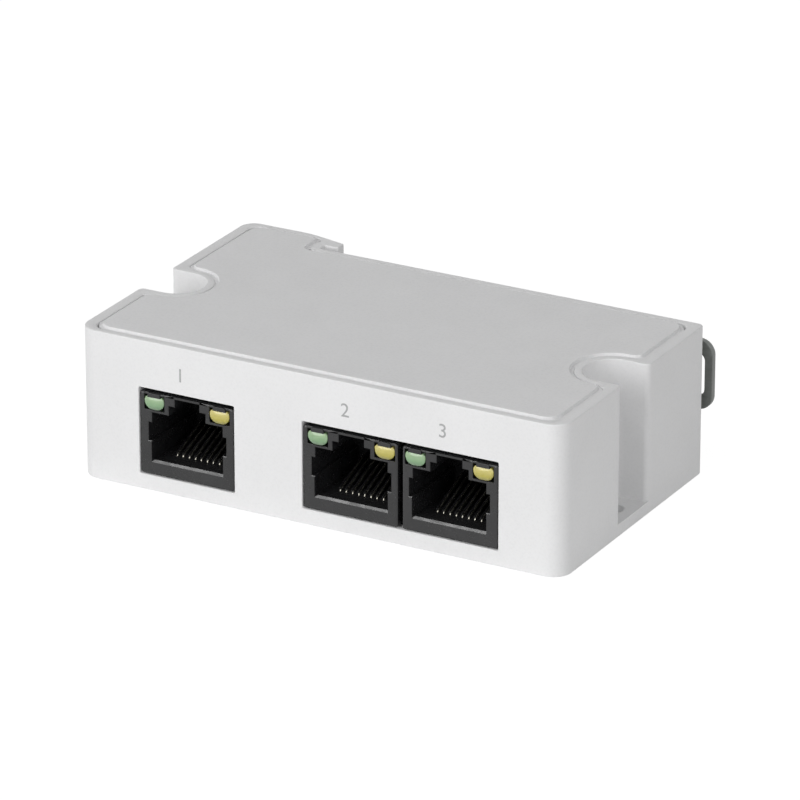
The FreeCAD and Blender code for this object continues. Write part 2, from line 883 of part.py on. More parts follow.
# Black socket shell with plug opening, lamp windows, wire slots and board pegs
def make_shell(name, x):
    body = new_body(f"{name}_shell_body")
    half = size["jack_width"] / 2
    outer = new_sketch(body, f"{name}_face", "XZ_Plane", jack_front)
    draw(outer, rectangle((x - half, jack_base), (x + half, jack_top)))
    case = pad(body, outer, size["jack_length"], reverse=True)
    chamfer(body, case, front_face, size["face_bevel"])
    mouth = new_sketch(body, f"{name}_mouth", "XZ_Plane", jack_front)
    draw(mouth, plug_outline(x))
    pocket(body, mouth, size["plug_depth"])
    lip = new_sketch(body, f"{name}_lip", "YZ_Plane", x - size["plug_width"] / 2 - weld)
    lip_z = jack_base + size["plug_floor"]
    drop = size["lip_bevel"]
    wedge = [(jack_front - weld, lip_z - drop), (jack_front, lip_z - drop), (jack_front + drop, lip_z)]
    draw(lip, wedge + [(jack_front + drop, lip_z + weld), (jack_front - weld, lip_z + weld)])
    pocket(body, lip, size["plug_width"] + 2 * weld, reverse=True)
    rear = new_sketch(body, f"{name}_rear", "XY_Plane", jack_base + size["rear_wall"])
    inner = half - size["rear_wall"]
    rear_y = jack_front + size["plug_depth"] + size["septum"]
    draw(rear, rectangle((x - inner, rear_y), (x + inner, rear_start + weld)))
    pocket(body, rear, size["jack_height"], reverse=True)
    slots = new_sketch(body, f"{name}_slots", "XY_Plane", jack_base + size["plug_floor"])
    play = size["wire_play"]
    slot = size["wire_width"] / 2 + play
    slot_y = jack_front + size["wire_front"] - size["wire_thickness"] / 2 - play
    for wire_x in wire_places(x):
        draw(slots, rectangle((wire_x - slot, slot_y), (wire_x + slot, rear_y + weld)))
    pocket(body, slots, size["plug_floor"] - size["wire_low"] + size["wire_thickness"] / 2 + play)
    lamps = new_sketch(body, f"{name}_lamp_windows", "XZ_Plane", jack_front)
    lamp_half = size["lamp_width"] / 2
    lamp_low = jack_base + size["lamp_low"]
    lamp_top = jack_base + size["lamp_window_top"]
    exits = new_sketch(body, f"{name}_lead_exits", "XY_Plane", jack_top)
    exit_half = size["lead_exit_half"]
    exit_start = jack_front + size["lamp_length"] - size["lead_exit_start"]
    exit_end = jack_front + size["lamp_length"] + size["lead_exit_end"]
    for side in (-1, 1):
        lamp_x = x + side * size["lamp_spread"]
        draw(lamps, rectangle((lamp_x - lamp_half, lamp_low), (lamp_x + lamp_half, lamp_top)))
        draw(exits, rectangle((lamp_x - exit_half, exit_start), (lamp_x + exit_half, exit_end)))
    pocket(body, lamps, size["lamp_length"] + size["lead_exit_end"])
    pocket(body, exits, jack_top - (lamp_low + lamp_top) / 2)
    keepers = new_sketch(body, f"{name}_lamp_keepers", "XZ_Plane", jack_front)
    wide = size["keeper_half_width"]
    narrow = size["keeper_top_half"]
    flat = jack_base + size["lamp_flat"]
    upper = lamp_top + weld
    for side in (-1, 1):
        lamp_x = x + side * size["lamp_spread"]
        keeper = [(-wide, flat), (wide, flat), (narrow, upper), (-narrow, upper)]
        draw(keepers, [(lamp_x + dx, z) for dx, z in keeper])
    pad(body, keepers, size["keeper_depth"], reverse=True)
    pegs = new_sketch(body, f"{name}_pegs", "XY_Plane", jack_top)
    for side in (-1, 1):
        draw(pegs, peg_outline(x + side * size["peg_spread"], 0))
    pad(body, pegs, size["board_thickness"] + size["peg_rise"])
    node(body, f"{name}_socket")


# Side view of one contact: a pin at the board, a run in the socket floor, and the rising spring
def wire_outline(depth):
    thick = size["wire_thickness"] / 2
    pin = jack_front + depth
    nose = jack_front + size["wire_front"]
    low = jack_base + size["wire_low"]
    tip = jack_base + size["wire_tip"]
    end = jack_front + size["wire_rise_depth"]
    high = jack_base + size["wire_high"]
    pin_top = board_over + size["pin_tail"]
    return [
        (pin + thick, pin_top),
        (pin - thick, pin_top),
        (pin - thick, low + thick),
        (nose + thick, low + thick),
        (nose + thick, tip - thick / 2),
        (end, high - thick),
        (end, high + thick),
        (nose - thick, tip + thick),
        (nose - thick, low - thick),
        (pin + thick, low - thick),
    ]


def wire_sketch(name, depth):
    sketch = doc.addObject("Sketcher::SketchObject", name)
    sketch.Placement = Placement(Vector(), Rotation(Vector(1, 1, 1), 120))
    draw(sketch, wire_outline(depth))
    return sketch


def make_contacts(name, x, near, far):
    wires = []
    for number, wire_x in enumerate(wire_places(x), 1):
        wire = doc.addObject("Part::Extrusion", f"{name}_wire_{number}")
        wire.Base = far if number % 2 else near
        wire.DirMode = "Normal"
        wire.Solid = True
        bind(wire, "LengthFwd", size["wire_width"])
        bind(wire, "Placement.Base.x", wire_x - size["wire_width"] / 2)
        wires.append(wire)
    return node(compound(f"{name}_wires", wires), f"{name}_contacts")


# Moulded insert at the back of a socket that grips its eight contacts
def make_carrier(name, x, wires):
    play = size["peg_play"]
    inner = size["jack_width"] / 2 - size["rear_wall"] - play
    low_y = jack_front + size["plug_depth"] + size["septum"] + play
    low = (x - inner, low_y, jack_base + size["rear_wall"] + play)
    high = (x + inner, rear_start, board_under - 2 * play)
    carrier = block(f"{name}_insert", low, high)
    return node(cut(f"{name}_carrier_cut", carrier, wires), f"{name}_carrier")


# A lamp: a lens with a round underside and a flat top under its keeper, and two leads to the board
def make_lamp(name, x):
    body = new_body(f"{name}_body")
    gap = size["lamp_gap"]
    half = size["lamp_width"] / 2 - gap
    low_z = jack_base + size["lamp_low"] + gap
    flat_z = jack_base + size["lamp_flat"] - gap
    face = new_sketch(body, f"{name}_face", "XZ_Plane", jack_front + size["lamp_inset"])
    bend = half * size["lamp_round_share"]
    outline = [
        (x - half, flat_z),
        (x - half, low_z, bend),
        (x + half, low_z, bend),
        (x + half, flat_z),
    ]
    draw(face, outline)
    lens = pad(body, face, size["lamp_length"], reverse=True)
    chamfer(body, lens, front_face, size["lamp_bevel"])
    wide = size["lead_size"] / 2
    turn = jack_front + size["lamp_length"] + size["lead_turn"]
    root = turn - size["lead_root"]
    middle = (low_z + flat_z) / 2
    for side in (-1, 1):
        lead_x = x + side * size["lead_spread"]
        lead = new_sketch(body, f"{name}_lead_{side + 2}", "YZ_Plane", lead_x - wide)
        bent = [
            (root, middle - wide),
            (turn + wide, middle - wide),
            (turn + wide, board_over + size["pin_tail"]),
            (turn - wide, board_over + size["pin_tail"]),
            (turn - wide, middle + wide),
            (root, middle + wide),
        ]
        draw(lead, bent)
        pad(body, lead, size["lead_size"])
    return node(body, name)


# The board's plan follows the walls and steps round the screw notches
def make_board(pins):
    body = new_body("board_body")
    gap = wall + size["board_gap"]
    notch_x = notch_depth + gap
    notch_y = notch_half + gap
    plan = new_sketch(body, "board_plan", "XY_Plane", board_under)
    outline = [
        (left + gap, front + gap),
        (right - gap, front + gap),
        (right - gap, -notch_y),
        (right - notch_x, -notch_y),
        (right - notch_x, notch_y),
        (right - gap, notch_y),
        (right - gap, back - gap),
        (left + gap, back - gap),
        (left + gap, notch_y),
        (left + notch_x, notch_y),
        (left + notch_x, -notch_y),
        (left + gap, -notch_y),
    ]
    draw(plan, outline)
    pad(body, plan, size["board_thickness"])
    holes = new_sketch(body, "board_holes", "XY_Plane", board_over)
    for x, y in screw_places():
        draw_circle(holes, x, y, size["screw_radius"] + size["board_screw_play"])
    pin = size["locating_pin"] / 2 + size["pin_play"]
    for x, y in pin_places():
        draw(holes, rectangle((x - pin, y - pin), (x + pin, y + pin)))
    for x in ports.values():
        for side in (-1, 1):
            draw(holes, peg_outline(x + side * size["peg_spread"], size["peg_play"]))
    pocket(body, holes, size["board_thickness"])
    node(cut("board_drilled", body, compound("board_pins", pins)), "circuit_board")


# Two pan-head screws that hold the board on its posts
def make_screws():
    body = new_body("screw_body")
    screw_head = head_room * size["screw_head_share"]
    heads = new_sketch(body, "screw_heads", "XY_Plane", board_over)
    shanks = new_sketch(body, "screw_shanks", "XY_Plane", board_over)
    slots = new_sketch(body, "screw_crosses", "XY_Plane", board_over + screw_head)
    long_arm = size["recess_arm"]
    short_arm = size["recess_half"]
    for x, y in screw_places():
        draw_circle(heads, x, y, size["screw_head_radius"])
        draw_circle(shanks, x, y, size["screw_radius"])
        cross = [
            (short_arm, long_arm),
            (-short_arm, long_arm),
            (-short_arm, short_arm),
            (-long_arm, short_arm),
            (-long_arm, -short_arm),
            (-short_arm, -short_arm),
            (-short_arm, -long_arm),
            (short_arm, -long_arm),
            (short_arm, -short_arm),
            (long_arm, -short_arm),
            (long_arm, short_arm),
            (short_arm, short_arm),
        ]
        draw(slots, [(x + dx, y + dy) for dx, dy in cross])
    pad(body, heads, screw_head)
    pad(body, shanks, size["screw_length"], reverse=True)
    pocket(body, slots, screw_head * size["recess_share"])
    node(body, "board_screws")


# Sheet-metal latch: nose over the rail, spring window and pull loop
def make_latch():
    body = new_body("latch_body")
    middle = size["latch_level"]
    half = size["latch_width"] / 2
    plate = new_sketch(body, "latch_plate", "XZ_Plane", latch_face)
    end = right + size["latch_reach"]
    outline = [
        (nose_end, middle - half, size["nose_radius"]),
        (end, middle - half, size["loop_radius"]),
        (end, middle + half, size["loop_radius"]),
        (nose_end, middle + half, size["nose_radius"]),
    ]
    draw(plate, outline)
    pad(body, plate, size["latch_thickness"], reverse=True)
    holes = new_sketch(body, "latch_holes", "XZ_Plane", latch_face)
    hole_end = end - size["loop_bar"]
    hole_half = size["loop_height"] / 2
    hole_start = hole_end - latch_room * size["loop_share"]
    near_bend = size["loop_inner_radius"]
    far_bend = size["loop_outer_radius"]
    loop = [
        (hole_start, middle - hole_half, near_bend),
        (hole_end, middle - hole_half, far_bend),
        (hole_end, middle + hole_half, far_bend),
        (hole_start, middle + hole_half, near_bend),
    ]
    draw(holes, loop)
    start = spring_start - size["latch_gap"]
    reach = size["spring_radius"] + size["spring_wire"]
    stop_end = spring_start + spring_length + stop_length + size["latch_gap"]
    tongue = size["spring_tongue_half"]
    tongue_end = start + size["spring_tongue"]
    window = [
        (start, middle - reach),
        (stop_end, middle - reach),
        (stop_end, middle + reach),
        (start, middle + reach),
        (start, middle + tongue),
        (tongue_end, middle + tongue),
        (tongue_end, middle - tongue),
        (start, middle - tongue),
    ]
    draw(holes, window)
    pocket(body, holes, size["latch_thickness"])
    bevel = new_sketch(body, "nose_bevel_cut", "XY_Plane", middle - half - weld)
    cut_back = size["nose_bevel"]
    corner = [
        (nose_end - weld, latch_back - cut_back),
        (nose_end, latch_back - cut_back),
        (nose_end + cut_back, latch_back),
        (nose_end + cut_back, latch_back + weld),
        (nose_end - weld, latch_back + weld),
    ]
    draw(bevel, corner)
    pocket(body, bevel, size["latch_width"] + 2 * weld, reverse=True)
    node(body, "rail_latch")


# Compression spring that pushes the latch towards the rail
def make_spring():
    coil = doc.addObject("Part::Helix", "spring_helix")
    run = spring_length - size["spring_wire"] - 2 * size["latch_gap"]
    bind(coil, "Pitch", run / size["spring_turns"])
    bind(coil, "Height", run)
    bind(coil, "Radius", size["spring_radius"])
    ring = doc.addObject("Part::RegularPolygon", "spring_section")
    ring.Polygon = 4
    bind(ring, "Circumradius", size["spring_wire"] / 2 * size["spring_corner_share"])
    bind(ring, "Placement.Base.x", size["spring_radius"])
    ring.Placement.Rotation = Rotation(Vector(1, 0, 0), 90)
    swept = doc.addObject("Part::Sweep", "spring_sweep")
    swept.Sections = [ring]
    swept.Spine = (coil, ["Edge1"])
    swept.Solid = True
    swept.Frenet = True
    swept.Placement.Rotation = Rotation(Vector(0, 1, 0), 90)
    start = spring_start + size["spring_wire"] / 2 + size["latch_gap"]
    place(swept, start, latch_face + size["latch_thickness"] / 2, size["latch_level"])
    node(swept, "latch_spring")


# A package with a row of bent legs along each long side, on either face of the board
def make_chip(name, kind, x, upward):
    body = new_body(f"{name}_body")
    form = PACKAGES[kind]
    length = right * form["length"]
    half = rear_room * form["width"] / 2
    height = (head_room if upward else under_room) * form["height"]
    y = behind(form["behind"])
    face = board_over if upward else board_under
    sign = 1 if upward else -1
    low = face + sign * size["chip_lift"]
    plan = new_sketch(body, f"{name}_plan", "XY_Plane", low)
    draw(plan, rectangle((x - length / 2, y - half), (x + length / 2, y + half)))
    pad(body, plan, height, reverse=not upward)
    run = length * form["pitch"] * (form["legs"] - 1)
    rows = new_sketch(body, f"{name}_legs", "YZ_Plane", x - run / 2 - form["leg_width"] / 2)
    thick = size["leg_thickness"]
    knee = low + sign * height * size["knee_share"]
    reach = rear_room * form["reach"]
    for side in (-1, 1):
        root = y + side * (half - size["leg_root"])
        outside = y + side * (half + reach * size["leg_knee_share"])
        toe = y + side * (half + reach)
        outline = [
            (root, knee),
            (outside, knee),
            (toe, face),
            (outside - side * thick, face),
            (outside - side * thick, knee - sign * thick),
            (root, knee - sign * thick),
        ]
        draw(rows, outline)
    leg = pad(body, rows, form["leg_width"])
    pattern = body.newObject("PartDesign::LinearPattern", f"{name}_row")
    pattern.Originals = [leg]
    pattern.Direction = (rows, ["N_Axis"])
    bind(pattern, "Length", run)
    pattern.Occurrences = form["legs"]
    body.Tip = pattern
    return node(body, name)


# A place to the side of the middle, as a share of half the housing's width
def across(share):
    return right * share


# A place behind the sockets, as a share of the way to the back wall
def behind(share):
    return rear_start + rear_room * share


# A can capacitor that hangs under the board by its two leads
def make_can(name):
    body = new_body(f"{name}_body")
    form = CANS[name]
    radius = rear_room * form["radius"]
    height = under_room * form["height"]
    profile = new_sketch(body, f"{name}_profile", "XZ_Plane")
    upper = board_under - size["can_gap"]
    draw(profile, rectangle((0, upper - height), (radius, upper)))
    turned = body.newObject("PartDesign::Revolution", f"{name}_can")
    turned.Profile = profile
    turned.ReferenceAxis = (profile, ["V_Axis"])
    turned.Angle = 360
    leads = new_sketch(body, f"{name}_leads", "XY_Plane", upper - weld)
    lead = size["lead_size"] / 2
    for side in (-1, 1):
        middle = side * radius * size["can_lead_share"]
        draw(leads, rectangle((middle - lead, -lead), (middle + lead, lead)))
    pad(body, leads, weld + size["can_gap"] + size["board_thickness"] + size["pin_tail"])
    place(body, across(form["across"]), behind(form["behind"]))
    return node(body, name)


# Shielded coil of the voltage converter: square base with clipped corners and a round core
def make_coil():
    body = new_body("coil_body")
    x = across(COIL["across"])
    y = behind(COIL["behind"])
    half = rear_room * size["coil_share"]
    clip = half * COIL["clip"]
    seat = board_under - size["coil_gap"]
    plan = new_sketch(body, "coil_plan", "XY_Plane", seat)
    corners = []
    for sx, sy in ((1, -1), (1, 1), (-1, 1), (-1, -1)):
        near = (x + sx * half, y + sy * (half - clip))
        far = (x + sx * (half - clip), y + sy * half)
        corners += [near, far] if sx == sy else [far, near]
    draw(plan, corners)
    pad(body, plan, size["coil_base"], reverse=True)
    core = new_sketch(body, "coil_core", "XY_Plane", seat - size["coil_base"])
    draw_circle(core, x, y, half * COIL["core"])
    pad(body, core, size["coil_height"] - size["coil_base"], reverse=True)
    node(body, "power_coil")


# Loose small resistors and ceramic capacitors in two staggered rows on the upper face
def make_small_parts():
    pieces = []
    length = right * size["small_part_share"]
    for number in range(SMALL_PARTS["count"]):
        x = across(SMALL_PARTS["first"] + number * SMALL_PARTS["step"])
        y = behind(SMALL_PARTS["rows"][number % 2])
        low = (x, y, board_over)
        high = (x + length, y + length / 2, board_over + head_room * size["small_part_rise_share"])
        pieces.append(block(f"small_part_{number + 1}", low, high))
    node(compound("small_parts_group", pieces), "small_parts")


# The clock crystal: a can with round ends on a flat lip
def make_crystal():
    body = new_body("crystal_body")
    lip = size["crystal_lip"]
    west, east = across(CRYSTAL["west"]), across(CRYSTAL["east"])
    south, north = behind(CRYSTAL["south"]), behind(CRYSTAL["north"])
    base = head_room * CRYSTAL["base"]
    can = new_sketch(body, "crystal_plan", "XY_Plane", board_over)
    draw(can, rectangle((west, south), (east, north)))
    pad(body, can, base)
    lid = new_sketch(body, "crystal_lid", "XY_Plane", board_over + base)
    bend = (north - south - lip * 2) * CRYSTAL["bend"]
    corners = rectangle((west + lip, south + lip), (east - lip, north - lip))
    draw(lid, [(x, y, bend) for x, y in corners])
    pad(body, lid, head_room * CRYSTAL["lid"])
    node(body, "clock_crystal")


def check_and_write():
    doc.recompute()
    for item in doc.Objects:
        if "Invalid" in item.State or "Error" in item.State:
            raise RuntimeError(f"{item.Name} failed: {item.State}")
    os.makedirs("parts", exist_ok=True)
    for item in nodes:
        shape = item.Shape
        if shape.isNull() or not shape.isValid() or not shape.Solids:
            raise RuntimeError(f"{item.Label} has no valid solid")
        shape.exportStep(f"parts/{item.Label}.step")
        print(item.Label, len(shape.Solids), round(shape.Volume, 2))


def build():
    make_housing()
    make_cover()
    near = wire_sketch("near_wire", size["pin_depth"])
    far = wire_sketch("far_wire", size["pin_depth"] + size["pin_stagger"])
    pins = []
    for name, x in ports.items():
        make_shell(name, x)
        wires = make_contacts(name, x, near, far)
        make_carrier(name, x, wires)
        pins.append(wires)
        pins.append(make_lamp(f"{name}_green_lamp", x - size["lamp_spread"]))
        pins.append(make_lamp(f"{name}_yellow_lamp", x + size["lamp_spread"]))
        make_chip(f"{name}_magnetics", "magnetics", x, False)
        controller = f"{name}_controller"
        make_chip(controller, "controller", across(PACKAGE_PLACES[controller]), True)
    for name in CANS:
        pins.append(make_can(name))
    make_coil()
    for name in ("rectifier_1", "rectifier_2"):
        make_chip(name, "rectifier", across(PACKAGE_PLACES[name]), False)
    make_chip("switch_chip", "switch_chip", across(PACKAGE_PLACES["switch_chip"]), True)
    make_crystal()
    make_small_parts()
    make_board(pins)
    make_screws()
    make_latch()
    make_spring()
    check_and_write()


build()
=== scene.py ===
import json
import math

import bmesh
import bpy
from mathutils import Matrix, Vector


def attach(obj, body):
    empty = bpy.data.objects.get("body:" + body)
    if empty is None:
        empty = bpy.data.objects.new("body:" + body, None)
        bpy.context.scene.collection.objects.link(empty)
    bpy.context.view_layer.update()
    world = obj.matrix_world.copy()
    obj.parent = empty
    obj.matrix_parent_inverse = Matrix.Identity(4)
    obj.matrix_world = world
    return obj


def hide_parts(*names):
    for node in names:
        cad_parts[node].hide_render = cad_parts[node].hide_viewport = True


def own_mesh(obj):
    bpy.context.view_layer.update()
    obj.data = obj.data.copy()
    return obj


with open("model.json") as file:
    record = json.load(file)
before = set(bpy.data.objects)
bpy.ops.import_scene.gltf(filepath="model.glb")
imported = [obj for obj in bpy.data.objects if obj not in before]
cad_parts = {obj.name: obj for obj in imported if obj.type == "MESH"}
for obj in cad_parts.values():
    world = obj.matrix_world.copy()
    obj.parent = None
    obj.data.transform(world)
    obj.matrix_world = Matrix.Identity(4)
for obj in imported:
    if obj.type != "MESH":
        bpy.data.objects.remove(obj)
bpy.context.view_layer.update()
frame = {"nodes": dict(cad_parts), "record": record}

scene = bpy.context.scene
mm = 0.001
print("packed frame loaded:", len(frame["nodes"]), "nodes")

# the body's main sizes in millimetres, shared by the shell, the cover and what sits in them
case = {
    "right": 40.0,
    "front": -22.5,
    "back": 22.5,
    "top": 23.5,
    "floor": 2.0,
    "wall": 2.2,
    "seat": 21.494,
    "notchDepth": 8.0,
    "notchHalf": 4.4,
    "notchFlat": 0.5,
    "hookBack": 27.4,
    "slotRoot": -24.65,
    "slotFace": 24.0,
    "jackFront": -22.35,
    "jackBase": 2.55,
    "jackHalf": 7.925,
    "boardUnder": 16.0,
    "boardOver": 17.6,
    "latchLevel": 14.75,
}
ports = {"input": -21.675, "output": 5.675, "camera": 21.675}


# outline points from (x, y) or (x, y, radius) corners, going counter-clockwise
def roundedLine(corners, step=7.5):
    points = []
    for i, corner in enumerate(corners):
        here = Vector(corner[:2])
        if len(corner) == 2:
            points.append(here)
            continue
        before = (Vector(corners[i - 1][:2]) - here).normalized()
        after = (Vector(corners[(i + 1) % len(corners)][:2]) - here).normalized()
        half = before.angle(after) / 2
        radius = corner[2]
        centre = here + (before + after).normalized() * (radius / math.sin(half))
        first = here + before * (radius / math.tan(half)) - centre
        last = here + after * (radius / math.tan(half)) - centre
        turn = first.angle_signed(last)
        parts = max(2, math.ceil(abs(math.degrees(turn)) / step))
        start = math.atan2(first.y, first.x)
        for k in range(parts + 1):
            angle = start - turn * k / parts
            points.append(centre + Vector((math.cos(angle), math.sin(angle))) * radius)
    return [p for i, p in enumerate(points) if (p - points[i - 1]).length > 1e-4]


# the same outline moved inwards, or outwards for a negative inset
def offsetLine(points, inset):
    if abs(inset) < 1e-9:
        return points
    moved = []
    for i, here in enumerate(points):
        into = (here - points[i - 1]).normalized()
        out = (points[(i + 1) % len(points)] - here).normalized()
        a, b = Vector((-into.y, into.x)), Vector((-out.y, out.x))
        moved.append(here + (a + b) * (inset / max(0.3, 1 + a.dot(b))))
    return moved


def box2(x0, y0, x1, y1, radius):
    return roundedLine([(x0, y0, radius), (x1, y0, radius), (x1, y1, radius), (x0, y1, radius)])


def circle2(x, y, radius, count):
    angles = [2 * math.pi * k / count for k in range(count)]
    return [Vector((x + radius * math.cos(a), y + radius * math.sin(a))) for a in angles]


def upright(u, v, w):  # outline in x and y, levels in z
    return Vector((u, v, w)) * mm


def facing(u, v, w):  # outline in x and z as seen from the front, levels in y
    return Vector((u, w, v)) * mm


def sideways(u, v, w):  # outline in y and z, levels in x
    return Vector((w, u, v)) * mm


def joinRings(bm, rings):
    for low, high in zip(rings, rings[1:]):
        for i in range(len(low)):
            j = (i + 1) % len(low)
            bm.faces.new((low[i], low[j], high[j], high[i]))


# rings of one outline at (inset, level) steps, joined by quads
def loft(bm, points, profile, place):
    rings = []
    for inset, level in profile:
        rings.append([bm.verts.new(place(p.x, p.y, level)) for p in offsetLine(points, inset)])
    joinRings(bm, rings)
    return rings


def cap(bm, outer, holes=()):
    if not holes:
        bm.faces.new(outer)
        return
    edges = [bm.edges.get((ring[i - 1], ring[i])) for ring in (outer, *holes) for i in range(len(ring))]
    bmesh.ops.triangle_fill(bm, use_beauty=True, edges=edges)


def solid(bm, points, profile, place):
    rings = loft(bm, points, profile, place)
    cap(bm, rings[0])
    cap(bm, rings[-1])


# rings shrunk towards a centre at (share, level) steps, for a domed end
def dome(bm, points, centre, profile, place):
    rings = []
    for share, level in profile:
        shrunk = [centre + (p - centre) * share for p in points]
        rings.append([bm.verts.new(place(p.x, p.y, level)) for p in shrunk])
    joinRings(bm, rings)
    cap(bm, rings[0])
    cap(bm, rings[-1])


# quarter-round steps: the inset falls from `radius` to 0 while the level rises by `radius`
def roundIn(radius, level, parts=4):
    angles = [math.pi / 2 * k / parts for k in range(parts + 1)]
    return [(radius * (1 - math.sin(a)), level + radius * (1 - math.cos(a))) for a in angles]


# and the other way: the inset grows from 0 while the level rises to `level`
def roundOut(radius, level, parts=4):
    angles = [math.pi / 2 * k / parts for k in range(parts + 1)]
    return [(radius * (1 - math.cos(a)), level + radius * (math.sin(a) - 1)) for a in angles]


# outline of a strip that follows (u, v, bend radius) corners, `thick` across
def bentStrip(path, thick):
    places = [Vector(corner[:2]) for corner in path]
    steps = [(b - a).normalized() for a, b in zip(places, places[1:])]
    sides = {-1: [], 1: []}
    for i, here in enumerate(places):
        into, out = steps[max(i - 1, 0)], steps[min(i, len(steps) - 1)]
        turn = math.copysign(1, into.cross(out))
        for side, corners in sides.items():
            a, b = Vector((-into.y, into.x)), Vector((-out.y, out.x))
            corner = here + (a + b) * (side * thick / 2 / (1 + a.dot(b)))
            bend = path[i][2] - turn * side * thick / 2
            corners.append((*corner, bend) if path[i][2] else tuple(corner))
    return roundedLine(sides[-1] + sides[1][::-1], 15)


# an outline in y and z, drawn out from x - half to x + half with softened sides
def slab(bm, points, x, half, edge):
    profile = [(edge, x - half), (0, x - half + edge), (0, x + half - edge), (edge, x + half)]
    solid(bm, points, profile, sideways)


# a box with softened edges that stands out from the back wall
def softBox(bm, low, high, edge):
    profile = roundIn(edge, low[2], 2) + roundOut(edge, high[2], 2)
    solid(bm, box2(low[0], low[1], high[0], high[1], edge), profile, facing)


def newObject(name, bm):
    bmesh.ops.remove_doubles(bm, verts=bm.verts, dist=1e-8)
    bmesh.ops.recalc_face_normals(bm, faces=bm.faces)
    mesh = bpy.data.meshes.new(name)
    bm.to_mesh(mesh)
    bm.free()
    piece = bpy.data.objects.new(name, mesh)
    scene.collection.objects.link(piece)
    return piece


# the modifiers' result as a plain mesh
def bake(piece):
    bpy.context.view_layer.update()
    seen = piece.evaluated_get(bpy.context.evaluated_depsgraph_get())
    mesh = bpy.data.meshes.new_from_object(seen)
    piece.modifiers.clear()
    piece.data = mesh
    mesh.name = piece.name


# smooth shading with sharp edges kept, flat faces kept flat
def shade(piece, sharp=38):
    mesh = piece.data
    mesh.shade_smooth()
    mesh.set_sharp_from_angle(angle=math.radians(sharp))
    weighted = piece.modifiers.new("faceWeighted", "WEIGHTED_NORMAL")
    weighted.keep_sharp = True
    bake(piece)


def finishPiece(piece, material, rides="extender", stands=(), sharp=38):
    shade(piece, sharp)
    piece.data.materials.clear()
    piece.data.materials.append(material)
    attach(piece, rides)
    if stands:
        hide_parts(*stands)


# adds a node: an input given a socket is linked, one given a node is linked to its first output
def addNode(tree, kind, inputs=None, **settings):
    made = tree.nodes.new(kind)
    for key, value in settings.items():
        setattr(made, key, value)
    for key, value in (inputs or {}).items():
        if isinstance(value, bpy.types.Node):
            value = value.outputs[0]
        if isinstance(value, bpy.types.NodeSocket):
            tree.links.new(value, made.inputs[key])
        else:
            made.inputs[key].default_value = value
    return made


def maths(tree, operation, first, second):
    return addNode(tree, "ShaderNodeMath", {0: first, 1: second}, operation=operation)


# materials

class Maker:
    def __init__(self, name):
        self.material = bpy.data.materials.new(name)
        self.material.use_nodes = True
        self.tree = self.material.node_tree
        self.where = self.node("ShaderNodeTexCoord").outputs["Object"]

    def node(self, kind, inputs=None, **settings):
        return addNode(self.tree, kind, inputs, **settings)

    def scaled(self, size):  # object coordinates stretched along each axis
        return self.node("ShaderNodeMapping", {"Vector": self.where, "Scale": size}).outputs["Vector"]

    def noise(self, grain, detail=3.0, rough=0.5, where=None):  # grain in millimetres
        place = where or self.where
        inputs = {"Vector": place, "Scale": 1000.0 / grain, "Detail": detail, "Roughness": rough}
        return self.node("ShaderNodeTexNoise", inputs).outputs["Fac"]

    def cells(self, grain):
        inputs = {"Vector": self.where, "Scale": 1000.0 / grain}
        return self.node("ShaderNodeTexVoronoi", inputs).outputs["Distance"]

    def ramp(self, factor, stops):
        made = self.node("ShaderNodeValToRGB", {"Fac": factor})
        elements = made.color_ramp.elements
        while len(elements) < len(stops):
            elements.new(0.5)
        for element, (place, colour) in zip(elements, stops):
            element.position = place
            element.color = (colour, colour, colour, 1.0) if isinstance(colour, float) else (*colour, 1.0)
        return made.outputs["Color"]

    def blend(self, factor, first, second, kind="MIX"):
        inputs = {0: factor, 6: first, 7: second}
        return self.node("ShaderNodeMix", inputs, data_type="RGBA", blend_type=kind).outputs[2]

    def bump(self, height, distance, strength, under=None):  # distance in millimetres
        inputs = {"Height": height, "Distance": distance * mm, "Strength": strength}
        if under:
            inputs["Normal"] = under
        return self.node("ShaderNodeBump", inputs).outputs["Normal"]

    # links what varies to the shader and sets what is the same all over
    def finish(self, colour, rough, normal, **values):
        shader = self.tree.nodes["Principled BSDF"].inputs
        for key, output in (("Base Color", colour), ("Roughness", rough), ("Normal", normal)):
            self.tree.links.new(output, shader[key])
        for key, value in values.items():
            shader[key.replace("_", " ")].default_value = value
        return self.material


# moulded plastic: spark-eroded grain, faint flow tone, uneven gloss
def mouldedPlastic(name, look):
    make = Maker(name)
    flow = make.noise(look["flow"], 2.0)
    tone = make.ramp(flow, [(0.3, look["dark"]), (0.7, look["light"])])
    fine = make.blend(0.35, make.noise(look["grain"], 4.0, 0.6), make.cells(look["grain"] * 1.7))
    flecks = make.ramp(fine, [(0.25, look["fleck"]), (0.55, 1.0)])
    return make.finish(
        make.blend(1.0, tone, flecks, "MULTIPLY"),
        make.ramp(make.noise(look["flow"] / 3), [(0.3, look["glossy"]), (0.75, look["matt"])]),
        make.bump(fine, look["depth"], 0.7, make.bump(flow, look["sink"], 0.4)),
        IOR=look["ior"],
        Specular_IOR_Level=look["shine"],
    )


